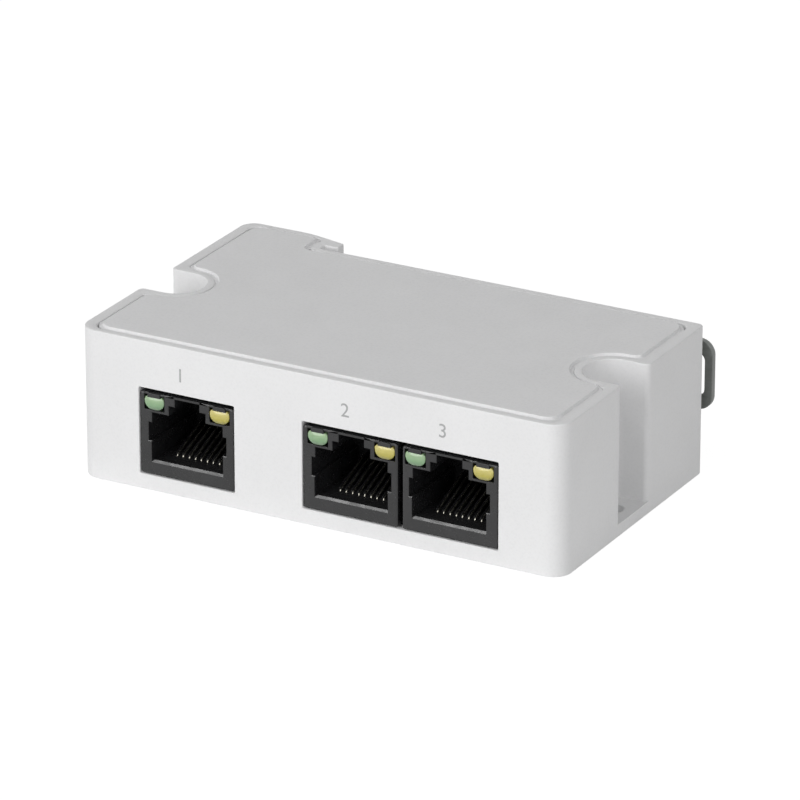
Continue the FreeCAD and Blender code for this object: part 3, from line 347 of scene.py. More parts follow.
plasticLooks = {
    "shellWhite": {
        "dark": (0.842, 0.842, 0.846), "light": (0.868, 0.868, 0.872), "fleck": 0.96,
        "flow": 14.0, "grain": 0.28, "depth": 0.02, "sink": 0.02,
        "glossy": 0.46, "matt": 0.58, "ior": 1.5, "shine": 0.4,
    },
    "coverWhite": {
        "dark": (0.835, 0.835, 0.84), "light": (0.858, 0.858, 0.863), "fleck": 0.945,
        "flow": 11.0, "grain": 0.32, "depth": 0.026, "sink": 0.02,
        "glossy": 0.48, "matt": 0.6, "ior": 1.5, "shine": 0.4,
    },
    "jackBlack": {
        "dark": (0.012, 0.012, 0.013), "light": (0.02, 0.02, 0.021), "fleck": 0.8,
        "flow": 5.0, "grain": 0.16, "depth": 0.006, "sink": 0.01,
        "glossy": 0.24, "matt": 0.34, "ior": 1.52, "shine": 0.5,
    },
    "carrierBlack": {
        "dark": (0.016, 0.016, 0.016), "light": (0.028, 0.028, 0.028), "fleck": 0.8,
        "flow": 4.0, "grain": 0.2, "depth": 0.01, "sink": 0.01,
        "glossy": 0.4, "matt": 0.55, "ior": 1.5, "shine": 0.4,
    },
    "packageBlack": {
        "dark": (0.018, 0.018, 0.02), "light": (0.035, 0.035, 0.037), "fleck": 0.7,
        "flow": 3.0, "grain": 0.12, "depth": 0.01, "sink": 0.01,
        "glossy": 0.5, "matt": 0.68, "ior": 1.5, "shine": 0.35,
    },
    "ferriteGrey": {
        "dark": (0.05, 0.05, 0.053), "light": (0.09, 0.09, 0.094), "fleck": 0.6,
        "flow": 2.0, "grain": 0.15, "depth": 0.02, "sink": 0.02,
        "glossy": 0.5, "matt": 0.75, "ior": 1.6, "shine": 0.4,
    },
    "ceramicTan": {
        "dark": (0.36, 0.27, 0.18), "light": (0.5, 0.4, 0.29), "fleck": 0.8,
        "flow": 2.5, "grain": 0.1, "depth": 0.006, "sink": 0.01,
        "glossy": 0.35, "matt": 0.55, "ior": 1.6, "shine": 0.5,
    },
}
plastics = {name: mouldedPlastic(name, look) for name, look in plasticLooks.items()}


# drawn, plated or brushed metal: streaks along one axis, stains and fine scratches
def workedMetal(name, look):
    make = Maker(name)
    streak = make.noise(look["streak"], 5.0, 0.65, make.scaled(look["along"]))
    stain = make.noise(look["stain"], 3.0, 0.6)
    return make.finish(
        make.ramp(make.blend(0.4, stain, streak), [(0.3, look["dark"]), (0.7, look["light"])]),
        make.ramp(make.blend(0.5, streak, stain), [(0.25, look["glossy"]), (0.75, look["matt"])]),
        make.bump(streak, look["depth"], 0.5),
        Metallic=look["metal"],
    )


metalLooks = {
    "latchSteel": {
        "dark": (0.14, 0.148, 0.14), "light": (0.26, 0.272, 0.262), "along": (0.12, 1.0, 1.0),
        "streak": 0.5, "stain": 3.0, "glossy": 0.38, "matt": 0.56, "depth": 0.006, "metal": 0.3,
    },
    "contactGold": {
        "dark": (0.4, 0.38, 0.32), "light": (0.56, 0.54, 0.47), "along": (1.0, 0.15, 1.0),
        "streak": 0.3, "stain": 2.0, "glossy": 0.26, "matt": 0.4, "depth": 0.003, "metal": 1.0,
    },
    "springSteel": {
        "dark": (0.42, 0.42, 0.43), "light": (0.6, 0.6, 0.61), "along": (1.0, 1.0, 1.0),
        "streak": 0.4, "stain": 2.0, "glossy": 0.22, "matt": 0.4, "depth": 0.003, "metal": 1.0,
    },
    "screwSteel": {
        "dark": (0.5, 0.5, 0.51), "light": (0.68, 0.68, 0.69), "along": (1.0, 1.0, 0.3),
        "streak": 0.3, "stain": 1.5, "glossy": 0.22, "matt": 0.42, "depth": 0.003, "metal": 1.0,
    },
    "canAluminium": {
        "dark": (0.58, 0.59, 0.61), "light": (0.7, 0.71, 0.73), "along": (0.2, 0.2, 1.0),
        "streak": 0.4, "stain": 3.0, "glossy": 0.24, "matt": 0.4, "depth": 0.003, "metal": 1.0,
    },
    "crystalCan": {
        "dark": (0.6, 0.6, 0.6), "light": (0.74, 0.74, 0.74), "along": (0.15, 1.0, 1.0),
        "streak": 0.3, "stain": 2.0, "glossy": 0.2, "matt": 0.36, "depth": 0.003, "metal": 1.0,
    },
}
metals = {name: workedMetal(name, look) for name, look in metalLooks.items()}


# foot and crown levels of the lamp lenses, the span of the painted shade in their colour
lensShadeSpan = (case["jackBase"] + 10.2, case["jackBase"] + 12.4)


# tinted lamp lens: clear skin over a diffusing core; its colour darkens towards the foot as painted shade
# of the lower rim, and pales towards the crown
def lampLens(name, look):
    make = Maker(name)
    cloud = make.noise(0.9)
    split = make.node("ShaderNodeSeparateXYZ", {0: make.where})
    foot, crown = (level * mm for level in lensShadeSpan)
    reach = {"Value": split.outputs["Z"], "From Min": foot, "From Max": crown}
    height = make.node("ShaderNodeMapRange", reach).outputs["Result"]
    # painted shade: the foot colour darkens the lens bottom as if in shade, body and crown are the lens
    # tint
    tone = make.ramp(height, [(0.02, look["foot"]), (0.36, look["body"]), (0.75, look["crown"])])
    return make.finish(
        make.blend(0.2, tone, make.ramp(cloud, [(0.3, look["body"]), (0.7, look["crown"])])),
        make.ramp(cloud, [(0.3, 0.12), (0.7, 0.22)]),
        make.bump(cloud, 0.02, 0.3),
        IOR=1.49,
        Transmission_Weight=look["clear"],
        Subsurface_Weight=0.25,
        Subsurface_Radius=(0.001, 0.001, 0.0006),
        Coat_Weight=0.6,
        Coat_Roughness=0.08,
    )


lensLooks = {
    # foot: painted shade at the lens bottom; body and crown: the lens tint
    "lensGreen": {
        "foot": (0.1, 0.15, 0.1), "body": (0.22, 0.4, 0.2), "crown": (0.36, 0.52, 0.3), "clear": 0.05,
    },
    "lensYellow": {
        "foot": (0.2, 0.19, 0.04), "body": (0.5, 0.44, 0.05), "crown": (0.7, 0.62, 0.2), "clear": 0.05,
    },
}
lenses = {name: lampLens(name, look) for name, look in lensLooks.items()}


# solder mask with copper tracks just under it
def solderMask(look):
    make = Maker("boardGreen")
    tracks = make.node("ShaderNodeTexBrick", {
        "Vector": make.where, "Scale": 1000.0 / look["pitch"], "Mortar Size": look["gapWidth"],
        "Color1": (*look["mask"], 1), "Color2": (*look["copper"], 1), "Mortar": (*look["gap"], 1),
    })
    weave = make.noise(0.5, 2.0, 0.5, make.scaled((1.0, 0.3, 1.0)))
    threads = make.ramp(weave, [(0.3, look["gap"]), (0.7, look["copper"])])
    return make.finish(
        make.blend(0.15, tracks.outputs["Color"], threads),
        make.ramp(make.noise(2.0), [(0.3, 0.3), (0.7, 0.45)]),
        make.bump(tracks.outputs["Fac"], 0.03, 0.5, make.bump(weave, 0.01, 0.3)),
        Coat_Weight=0.3,
        Coat_Roughness=0.2,
    )


boardMask = solderMask({
    "pitch": 1.6, "gapWidth": 0.12,
    "mask": (0.012, 0.1, 0.035), "copper": (0.03, 0.17, 0.06), "gap": (0.008, 0.07, 0.026),
})


# screen print: thin grey ink with slightly uneven cover
def printInk(look):
    make = Maker("printGrey")
    cover = make.noise(look["grain"], 4.0, 0.65)
    return make.finish(
        make.ramp(cover, [(0.25, look["thin"]), (0.6, look["full"])]),
        make.ramp(make.noise(1.5), [(0.3, 0.5), (0.7, 0.62)]),
        make.bump(cover, 0.006, 0.5),
    )


ink = printInk({"grain": 0.12, "thin": (0.5, 0.5, 0.5), "full": (0.38, 0.38, 0.385)})
print("materials made")

# repeats


# an empty geometry tree with its named inputs and one output
def newTree(name, result, inputs):
    tree = bpy.data.node_groups.new(name, "GeometryNodeTree")
    tree.is_modifier = True
    for label, kind in inputs.items():
        tree.interface.new_socket(label, in_out="INPUT", socket_type="NodeSocket" + kind)
    tree.interface.new_socket(result, in_out="OUTPUT", socket_type="NodeSocketGeometry")
    return tree


def endTree(tree, made, material):
    real = addNode(tree, "GeometryNodeRealizeInstances", {0: made})
    finish = addNode(tree, "GeometryNodeSetMaterial", {0: real, "Material": material})
    addNode(tree, "NodeGroupOutput", {0: finish})
    return tree


# runs a tree on a piece with values for its named inputs, and keeps the result as a plain mesh
def grow(piece, tree, **values):
    grown = piece.modifiers.new(tree.name, "NODES")
    grown.node_group = tree
    for item in tree.interface.items_tree:
        if item.name in values:
            grown[item.identifier] = values[item.name]
    bake(piece)


# repeats a piece along x, with a little seeded scatter
def rowTree():
    tree = newTree("evenRow", "Row", {
        "Piece": "Geometry", "Count": "Int", "Pitch": "Float", "Scatter": "Float", "Seed": "Int",
        "Finish": "Material",
    })
    given = addNode(tree, "NodeGroupInput").outputs
    span = maths(tree, "MULTIPLY", maths(tree, "SUBTRACT", given["Count"], 1.0), given["Pitch"])
    first = addNode(tree, "ShaderNodeCombineXYZ", {"X": maths(tree, "MULTIPLY", span, -0.5)})
    step = addNode(tree, "ShaderNodeCombineXYZ", {"X": given["Pitch"]})
    places = {"Count": given["Count"], "Start Location": first, "Offset": step}
    line = addNode(tree, "GeometryNodeMeshLine", places, mode="OFFSET")
    low = addNode(tree, "ShaderNodeCombineXYZ", {"X": maths(tree, "MULTIPLY", given["Scatter"], -1.0)})
    high = addNode(tree, "ShaderNodeCombineXYZ", {"X": given["Scatter"]})
    spread = {0: low, 1: high, "Seed": given["Seed"]}
    wander = addNode(tree, "FunctionNodeRandomValue", spread, data_type="FLOAT_VECTOR")
    moved = addNode(tree, "GeometryNodeSetPosition", {"Geometry": line, "Offset": wander})
    copies = addNode(tree, "GeometryNodeInstanceOnPoints", {"Points": moved, "Instance": given["Piece"]})
    return endTree(tree, copies, given["Finish"])


evenRow = rowTree()


def repeatPiece(piece, row, material):
    pitch, scatter = row["pitch"] * mm, row.get("scatter", 0.0) * mm
    seed = row.get("seed", 1)
    grow(piece, evenRow, Count=row["count"], Pitch=pitch, Scatter=scatter, Seed=seed, Finish=material)


# housing

shell = {
    "frontRadius": 3.0,
    "backRadius": 1.0,
    "hookRadius": 2.4,
    "slotRadius": 0.25,
    "nose": {"width": 2.3, "height": 1.9, "foot": 0.3, "tip": 0.35},
    "shoulder": (11.3, 14.0),
    "mouthRadius": 0.85,
    "edge": 0.2,
    "rimEdge": 0.25,
    "rim": 1.2,
    "sideRim": 1.8,
    "hookRim": 1.5,
    "rimRadius": 1.9,
    "lipRadius": 0.7,
    "stepRadius": 1.2,
    "flareRadius": 1.0,
    "mouthSlope": 0.6,
    "screwInset": 3.8,
    "screwHole": 1.95,
    "holeEdge": 0.15,
    "windowGap": 0.1,
    "windowEdge": 0.12,
    "windowCorner": 0.25,
}


def housingPlan(notched):
    r, f, b = case["right"], case["front"], case["back"]
    deep, half = case["notchDepth"], case["notchHalf"]
    bend = half - case["notchFlat"] / 2
    mouth, slot = shell["mouthRadius"], shell["slotRadius"]
    plan = [(-r, f, shell["frontRadius"]), (r, f, shell["frontRadius"])]
    if notched:
        plan += [(r, -half, mouth), (r - deep, -half, bend), (r - deep, half, bend), (r, half, mouth)]
    root, face, nose = case["slotRoot"], case["slotFace"], shell["nose"]
    tip = root + nose["width"]
    inwards, swell = shell["shoulder"]
    plan += [
        (r, b, shell["backRadius"]), (root, b, slot), (root, face, slot), (tip, face, nose["foot"]),
        (tip, face + nose["height"], nose["tip"]), (-r + inwards, case["hookBack"], swell),
        (-r, case["hookBack"], shell["hookRadius"]),
    ]
    if notched:
        plan += [(-r, half, mouth), (-r + deep, half, bend), (-r + deep, -half, bend), (-r, -half, mouth)]
    return roundedLine(plan)


# the rim's inner edge, and with a gap the cover's edge
def insetPlan(gap, radius, lip):
    r = case["right"]
    side, inset, back = (shell[key] + gap for key in ("sideRim", "rim", "hookRim"))
    deep, half = case["notchDepth"] + inset, case["notchHalf"] + inset
    bend = half - case["notchFlat"] / 2
    step, flare = shell["stepRadius"], shell["flareRadius"]
    flareX = deep - bend - 0.4
    flareY = half + (flareX - side) * shell["mouthSlope"]
    f, b, h = case["front"] + inset, case["back"] - inset, case["hookBack"] - inset
    root = case["slotRoot"] - back
    return roundedLine([
        (-r + side, f, radius), (r - side, f, radius),
        (r - side, -flareY, lip), (r - flareX, -half, flare), (r - deep, -half, bend),
        (r - deep, half, bend), (r - flareX, half, flare), (r - side, flareY, lip),
        (r - side, b, radius), (root, b, step), (root, h, step), (-r + side, h, radius),
        (-r + side, flareY, lip), (-r + flareX, half, flare), (-r + deep, half, bend),
        (-r + deep, -half, bend), (-r + flareX, -half, flare), (-r + side, -flareY, lip),
    ])


# the hollow inside, `w` within the outer faces
def hollowPlan(w):
    left, right = -case["right"] + w, case["right"] - w
    front, back, hookBack = case["front"] + w, case["back"] - w, case["hookBack"] - w
    deep, half = case["notchDepth"], case["notchHalf"] + w
    bend = half - case["notchFlat"] / 2
    root = case["slotRoot"] - w
    return roundedLine([
        (left, front, 0.6), (right, front, 0.6),
        (right, -half), (right - deep, -half, bend), (right - deep, half, bend), (right, half),
        (right, back, 0.6), (root, back, 0.4), (root, hookBack, 0.6), (left, hookBack, 0.6),
        (left, half), (left + deep, half, bend), (left + deep, -half, bend), (left, -half),
    ])


def makeWalls():
    bm = bmesh.new()
    top, seat, floor, edge = case["top"], case["seat"], case["floor"], shell["rimEdge"]
    outer = loft(bm, housingPlan(True), [(0, floor)] + roundOut(shell["edge"], top), upright)
    rim = insetPlan(0, shell["rimRadius"], shell["lipRadius"])
    steps = [(-edge, top), (-edge * 0.3, top - edge * 0.3), (0, top - edge), (0, seat)]
    inner = loft(bm, rim, steps, upright)
    hollow = loft(bm, hollowPlan(case["wall"]), [(0, seat), (0, floor)], upright)
    cap(bm, outer[-1], [inner[0]])
    cap(bm, inner[-1], [hollow[0]])
    cap(bm, outer[0], [hollow[-1]])
    return newObject("housingShell", bm)


# a window in the front wall with a softened edge
def cutWindow(piece, x0, x1):
    bm = bmesh.new()
    gap, edge, front = shell["windowGap"], shell["windowEdge"], case["front"]
    low, high = case["jackBase"] - gap, case["boardUnder"] + gap
    profile = [
        (-edge - 0.05, front - 0.05), (-edge * 0.3, front + edge * 0.3), (0, front + edge), (0, front + 4),
    ]
    solid(bm, box2(x0 - gap, low, x1 + gap, high, shell["windowCorner"]), profile, facing)
    cutter = newObject("windowCutter", bm)
    carve = piece.modifiers.new("window", "BOOLEAN")
    carve.operation = "DIFFERENCE"
    carve.solver = "EXACT"
    carve.object = cutter
    bake(piece)
    bpy.data.objects.remove(cutter)


def makeFloor():
    bm = bmesh.new()
    high, edge = case["floor"], shell["holeEdge"]
    rings = loft(bm, housingPlan(False), roundIn(shell["edge"], 0.0) + [(0, high)], upright)
    holes = []
    for side in (-1, 1):
        ring = circle2(side * (case["right"] - shell["screwInset"]), 0, shell["screwHole"], 40)
        holes.append(loft(bm, ring, [(-edge, 0.0), (0, edge), (0, high - edge), (-edge, high)], upright))
    cap(bm, rings[0], [h[0] for h in holes])
    cap(bm, rings[-1], [h[-1] for h in holes])
    return newObject("housingFloor", bm)


def joinInto(piece, other):
    bm = bmesh.new()
    bm.from_mesh(piece.data)
    bm.from_mesh(other.data)
    bm.to_mesh(piece.data)
    bm.free()
    bpy.data.objects.remove(other)


housingShell = makeWalls()
for first, last in (("input", "input"), ("output", "camera")):
    cutWindow(housingShell, ports[first] - case["jackHalf"], ports[last] + case["jackHalf"])
joinInto(housingShell, makeFloor())
finishPiece(housingShell, plastics["shellWhite"], stands=["housing"])
print("housing shell made:", len(housingShell.data.polygons), "faces")

# latch guides on the back

guides = {
    "edge": 0.08,
    "sunk": 0.3,
    "bed": (10.85, 34.25, 8.0, 21.5),
    "bedFace": 23.9,
    "trough": (16.1, 25.6, 13.0, 16.5),
    "middle": 23.3205,
    "length": 4.0,
    "half": 5.6,
    "wall": 1.2,
    "lip": 1.4,
    "lipFace": 25.1,
    "lipBack": 26.1,
    "stop": (25.62, 27.81, 13.35, 16.15),
    "nub": 0.5,
    "nubLength": 1.2,
    "ribs": {"count": 2, "pitch": 17.79},
}


# one pair of hooked lips, over and under the latch
def makeGuides():
    bm = bmesh.new()
    edge, foot = guides["edge"], case["back"] - guides["sunk"]
    lipFace, lipBack = guides["lipFace"], guides["lipBack"]
    start = guides["middle"] - guides["length"] / 2
    profile = roundIn(edge, start, 2) + roundOut(edge, start + guides["length"], 2)
    for side in (-1, 1):
        root = case["latchLevel"] + side * guides["half"]
        outside, inside = root + side * guides["wall"], root - side * guides["lip"]
        hooked = [
            (foot, root, 0.1), (lipFace, root, 0.1), (lipFace, inside, 0.1),
            (lipBack, inside, 0.1), (lipBack, outside, 0.1), (foot, outside, 0.1),
        ]
        if side < 0:
            hooked.reverse()
        solid(bm, roundedLine(hooked), profile, sideways)
    return newObject("latchGuides", bm)


def makeBed():
    bm = bmesh.new()
    back, face = case["back"], guides["bedFace"]
    x0, x1, z0, z1 = guides["bed"]
    outer = loft(bm, box2(x0, z0, x1, z1, 0.4), [(0, back - guides["sunk"])] + roundOut(0.2, face), facing)
    x0, x1, z0, z1 = guides["trough"]
    inner = loft(bm, box2(x0, z0, x1, z1, 0.3), [(-0.08, face), (0, face - 0.1), (0, back - 0.1)], facing)
    cap(bm, outer[-1], [inner[0]])
    cap(bm, inner[-1])
    cap(bm, outer[0])
    x0, x1, z0, z1 = guides["stop"]
    softBox(bm, (x0, z0, face - 0.4), (x1, z1, face + 1.0), 0.15)
    low, high = case["latchLevel"] - guides["nub"], case["latchLevel"] + guides["nub"]
    softBox(bm, (x0 - guides["nubLength"], low, face), (x0 + 0.3, high, face + 1.0), 0.1)
    return newObject("latchBed", bm)


finishPiece(makeBed(), plastics["shellWhite"])
guidePiece = makeGuides()
shade(guidePiece)
repeatPiece(guidePiece, guides["ribs"], plastics["shellWhite"])
finishPiece(guidePiece, plastics["shellWhite"])
print("latch bed and guides made")

# cover

cover = {
    "gap": 0.52,
    "snug": 0.02,
    "radius": 2.2,
    "lipRadius": 1.05,
    "groove": 0.2,
    "draft": 0.12,
    "soft": 0.1,
    "rise": 0.22,
    "relief": 0.74,
    "skirt": 4.2,
    "tongueAt": 14.0,
    "tongue": {"width": 6.0, "thick": 1.1, "length": 2.95, "barb": 0.35, "sunk": 0.3},
}


# a snap tongue with its barb, at the front or back wall
def addTongue(bm, x, side, width, thick, length, barb, sunk):
    face = side * (case["back"] - case["wall"] - 0.15)
    thin, proud = face - side * thick, face + side * barb
    root, tip = case["seat"] + sunk, case["seat"] - length
    shape = [
        (thin, root), (thin, tip), (face, tip), (proud, tip + 1.4), (proud, tip + 1.7), (face, tip + 2.1),
        (face, root),
    ]
    if side < 0:
        shape.reverse()
    solid(bm, [Vector(p) for p in shape], [(0, x - width / 2), (0, x + width / 2)], sideways)


def makeCover():
    bm = bmesh.new()
    low, top, foot = case["top"] - cover["groove"], case["top"] + cover["rise"], case["seat"]
    draft, soft, snug = cover["draft"], cover["soft"], cover["snug"] - cover["gap"]
    profile = [
        (snug, foot), (snug, low - 0.02), (0, low), (draft, top - soft),
        (draft + soft * 0.15, top - soft * 0.5), (draft + soft * 0.5, top - soft * 0.15),
        (draft + soft, top),
    ]
    rings = loft(bm, insetPlan(cover["gap"], cover["radius"], cover["lipRadius"]), profile, upright)
    cap(bm, rings[-1])
    inner = loft(bm, hollowPlan(cover["skirt"]), [(0, foot), (0, foot + cover["relief"])], upright)
    cap(bm, rings[0], [inner[0]])
    cap(bm, inner[-1])
    for x in (-cover["tongueAt"], cover["tongueAt"]):
        for side in (-1, 1):
            addTongue(bm, x, side, **cover["tongue"])
    return newObject("coverPanel", bm)


coverPanel = makeCover()
finishPiece(coverPanel, plastics["coverWhite"], stands=["top_cover"], sharp=50)
print("cover made")

# sockets

jack = {
    "levels": {
        "top": 12.93, "plugFloor": 2.3, "plugTop": 9.8, "keyLow": 5.3, "keyHigh": 8.2, "tabStep": 11.3,
        "tabTop": 12.85, "lampLow": 10.2, "lampTop": 12.78, "keeperLow": 12.2,
    },
    "trim": {"input": (0.0, 0.0), "output": (0.0, 0.3), "camera": (0.3, 0.0)},
    "length": 21.3,
    "corner": 0.35,
    "faceEdge": 0.3,
    "plugHalf": 5.95,
    "plugDepth": 13.0,
    "keyDepth": 0.6,
    "tabHalf": 3.1,
    "neckHalf": 2.075,
    "mouthEdge": 0.1,
    "lipEdge": 0.22,
    "lampHalf": 1.7,
    "lampDepth": 7.4,
    "lampSpread": 5.5,
    "keeperWide": 1.15,
    "keeperNarrow": 0.95,
    "keeperDepth": 1.3,
    "keeperProud": 0.15,
    "comb": {
        "count": 9, "pitch": 1.02, "half": 0.15, "edge": 0.05, "rise": 0.35, "height": 2.8, "start": 3.9,
        "end": 12.9,
    },
}


# the plug's way in with its side keys, latch step and neck
def mouthLine(x, z):
    plug, tab, neck = jack["plugHalf"], jack["tabHalf"], jack["neckHalf"]
    key = plug + jack["keyDepth"]
    half = [
        (plug, z["plugFloor"]), (plug, z["keyLow"]), (key, z["keyLow"]), (key, z["keyHigh"]),
        (plug, z["keyHigh"]), (plug, z["plugTop"]), (tab, z["plugTop"]), (tab, z["tabStep"]),
        (neck, z["tabStep"]), (neck, z["tabTop"]),
    ]
    whole = half + [(-dx, level) for dx, level in reversed(half)]
    return [Vector((x + dx, level)) for dx, level in whole]


# the tapered tab that keeps a lamp in its window
def addKeeper(bm, middle, low, high, face):
    wide, narrow, proud = jack["keeperWide"], jack["keeperNarrow"], face - jack["keeperProud"]
    keeper = [
        (middle - wide, low, 0.1), (middle + wide, low, 0.1),
        (middle + narrow, high + 0.1, 0.1), (middle - narrow, high + 0.1, 0.1),
    ]
    solid(bm, roundedLine(keeper), roundIn(0.08, proud, 2) + [(0, proud + jack["keeperDepth"])], facing)


def makeSocket(name, x):
    bm = bmesh.new()
    base, face = case["jackBase"], case["jackFront"]
    z = {key: base + level for key, level in jack["levels"].items()}
    half = case["jackHalf"]
    left, right = jack["trim"][name]
    outline = box2(x - half + left, base, x + half - right, z["top"], jack["corner"])
    outer = loft(bm, outline, roundIn(jack["faceEdge"], face, 3) + [(0, face + jack["length"])], facing)
    edge, lip = jack["mouthEdge"], jack["lipEdge"]
    steps = [(-edge, face), (0, face + edge), (0, face + jack["plugDepth"])]
    mouth = loft(bm, mouthLine(x, z), steps, facing)
    for ring, drop, push in ((mouth[0], lip, 0.0), (mouth[1], 0.0, lip)):
        for v in ring:
            if v.co.z < (z["plugFloor"] + 0.05) * mm:
                v.co.z -= drop * mm
                v.co.y += push * mm
    cap(bm, mouth[-1])
    holes = [mouth[0]]
    for side in (-1, 1):
        middle, wide = x + side * jack["lampSpread"], jack["lampHalf"]
        ring = box2(middle - wide, z["lampLow"], middle + wide, z["lampTop"], 0.12)
        window = loft(bm, ring, [(-0.06, face), (0, face + 0.08), (0, face + jack["lampDepth"])], facing)
        cap(bm, window[-1])
        holes.append(window[0])
        addKeeper(bm, middle, z["keeperLow"], z["lampTop"], face)
    cap(bm, outer[0], holes)
    cap(bm, outer[-1])
    return newObject(f"{name}SocketBody", bm)


# one rib of the comb that parts the contact wires
def makeComb(name, x):
    bm = bmesh.new()
    comb = jack["comb"]
    floor, face = case["jackBase"] + jack["levels"]["plugFloor"], case["jackFront"]
    start, end = face + comb["start"], face + comb["end"]
    low, high = floor + comb["rise"], floor + comb["height"]
    shape = [
        (start, floor - 0.1), (end, floor - 0.1), (end, high), (end - 1.2, high), (start + 0.3, low),
        (start, low - 0.2),
    ]
    slab(bm, [Vector(p) for p in shape], x, comb["half"], comb["edge"])
    return newObject(f"{name}SocketComb", bm)


for name, x in ports.items():
    socketBody = makeSocket(name, x)
    finishPiece(socketBody, plastics["jackBlack"], stands=[f"{name}_socket"], sharp=30)
    comb = makeComb(name, x)
    shade(comb, 30)
    repeatPiece(comb, jack["comb"], plastics["jackBlack"])
    finishPiece(comb, plastics["jackBlack"], sharp=30)
print("sockets made")

# contacts

wire = {
    "front": 3.2,
    "low": 1.5,
    "tip": 2.35,
    "riseDepth": 10.6,
    "high": 5.5,
    "pin": 16.2,
    "tail": 0.9,
    "thick": 0.22,
    "half": 0.11,
    "edge": 0.04,
    "row": {"count": 8, "pitch": 1.02, "scatter": 0.03, "seed": 4},
}


# one wire: from the board down, along the floor, round its nose and back up
def makeWire(name, x):
    bm = bmesh.new()
    face, base = case["jackFront"], case["jackBase"]
    path = [
        (face + wire["pin"], case["boardOver"] + wire["tail"], 0),
        (face + wire["pin"], base + wire["low"], 0.5),
        (face + wire["front"] - 0.4, base + wire["low"], 0.35),
        (face + wire["front"] + 0.1, base + wire["tip"] + 0.1, 0.25),
        (face + wire["riseDepth"], base + wire["high"], 0),
    ]
    slab(bm, bentStrip(path, wire["thick"]), x, wire["half"], wire["edge"])
    return newObject(f"{name}Contacts", bm)


for name, x in ports.items():
    contacts = makeWire(name, x)
    repeatPiece(contacts, wire["row"], metals["contactGold"])
    finishPiece(contacts, metals["contactGold"], stands=[f"{name}_contacts"], sharp=60)
print("contact wires made")

# lamps

lamp = {
    "half": 1.65,
    "low": 10.25,
    "flat": 12.35,
    "round": 1.3,
    "crownRound": 0.7,
    "seat": 0.12,
    "dome": 0.36,
    "domeParts": 10,
    "length": 6.0,
    "leadHalf": 0.25,
    "leadEdge": 0.04,
    "leadSpread": 0.8,
    "leadTail": 0.9,
}


def makeLamp(name, x):
    bm = bmesh.new()
    base, seat = case["jackBase"], case["jackFront"] + lamp["seat"]
    half, low, flat = lamp["half"], base + lamp["low"], base + lamp["flat"]
    middle, parts = (low + flat) / 2, lamp["domeParts"]
    outline = roundedLine([
        (x - half, low, lamp["round"]), (x + half, low, lamp["round"]),
        (x + half, flat, lamp["crownRound"]), (x - half, flat, lamp["crownRound"]),
    ], 10)
    angles = [math.pi / 2 * k / parts for k in range(1, parts + 1)]
    profile = [(math.sin(a), seat - lamp["dome"] * math.cos(a)) for a in angles]
    dome(bm, outline, Vector((x, middle)), profile + [(1, seat + lamp["length"])], facing)
    root, tail = seat + lamp["length"] - 0.4, case["boardOver"] + lamp["leadTail"]
    path = [(root, middle, 0), (root + 1.0, middle, 0.4), (root + 1.0, tail, 0)]
    lead = bentStrip(path, lamp["leadHalf"] * 2)
    for side in (-1, 1):
        slab(bm, lead, x + side * lamp["leadSpread"], lamp["leadHalf"], lamp["leadEdge"])
    return newObject(name, bm)


for name, x in ports.items():
    for colour, side in (("green", -1), ("yellow", 1)):
        piece = makeLamp(f"{name}{colour.title()}Lamp", x + side * jack["lampSpread"])
        lens = lenses["lens" + colour.title()]
        finishPiece(piece, lens, stands=[f"{name}_{colour}_lamp"], sharp=45)
print("lamps made")

# rail latch and its spring

latch = {
    "nose": 8.85,
    "end": 40.65,
    "half": 5.5,
    "face": 24.0,
    "thick": 1.0,
    "edge": 0.14,
    "corner": 0.6,
    "loopRadius": 2.3,
    "loop": (34.29, 39.3, 11.35, 18.15),
    "window": (16.92, 27.91, 13.1, 16.4),
    "tongue": 0.55,
    "tongueLength": 1.5,
    "noseBevel": 0.6,
}


def makeLatch():
    bm = bmesh.new()
    level, half, edge = case["latchLevel"], latch["half"], latch["edge"]
    nose, end, corner, bend = latch["nose"], latch["end"], latch["corner"], latch["loopRadius"]
    outline = roundedLine([
        (nose, level - half, corner), (end, level - half, bend), (end, level + half, bend),
        (nose, level + half, corner),
    ], 6)
    steps = roundIn(edge, latch["face"], 3) + roundOut(edge, latch["face"] + latch["thick"], 3)
    outer = loft(bm, outline, steps, facing)
    for v in outer[-1] + outer[-2] + outer[-3]:  # rolled nose that rides over the rail
        if v.co.x < (nose + 0.5) * mm:
            v.co.x += latch["noseBevel"] * mm
    x0, x1, z0, z1 = latch["loop"]
    loop = roundedLine([(x0, z0, 1.0), (x1, z0, 1.2), (x1, z1, 1.2), (x0, z1, 1.0)], 6)
    x0, x1, z0, z1 = latch["window"]
    low, high, tip = level - latch["tongue"], level + latch["tongue"], x0 + latch["tongueLength"]
    window = roundedLine([
        (x0, z0, 0.3), (x1, z0, 0.3), (x1, z1, 0.3), (x0, z1, 0.3),
        (x0, high, 0.2), (tip, high, 0.2), (tip, low, 0.2), (x0, low, 0.2),
    ])
    holes = [loft(bm, line, [(-inset, place) for inset, place in steps], facing) for line in (loop, window)]
    cap(bm, outer[0], [h[0] for h in holes])
    cap(bm, outer[-1], [h[-1] for h in holes])
    return newObject("latchPlate", bm)


latchPlate = makeLatch()
finishPiece(latchPlate, metals["latchSteel"], "latch", ["rail_latch"], 50)

spring = {"radius": 1.25, "wire": 0.2, "turns": 4.5, "start": 17.32, "end": 25.32, "depth": 24.45}


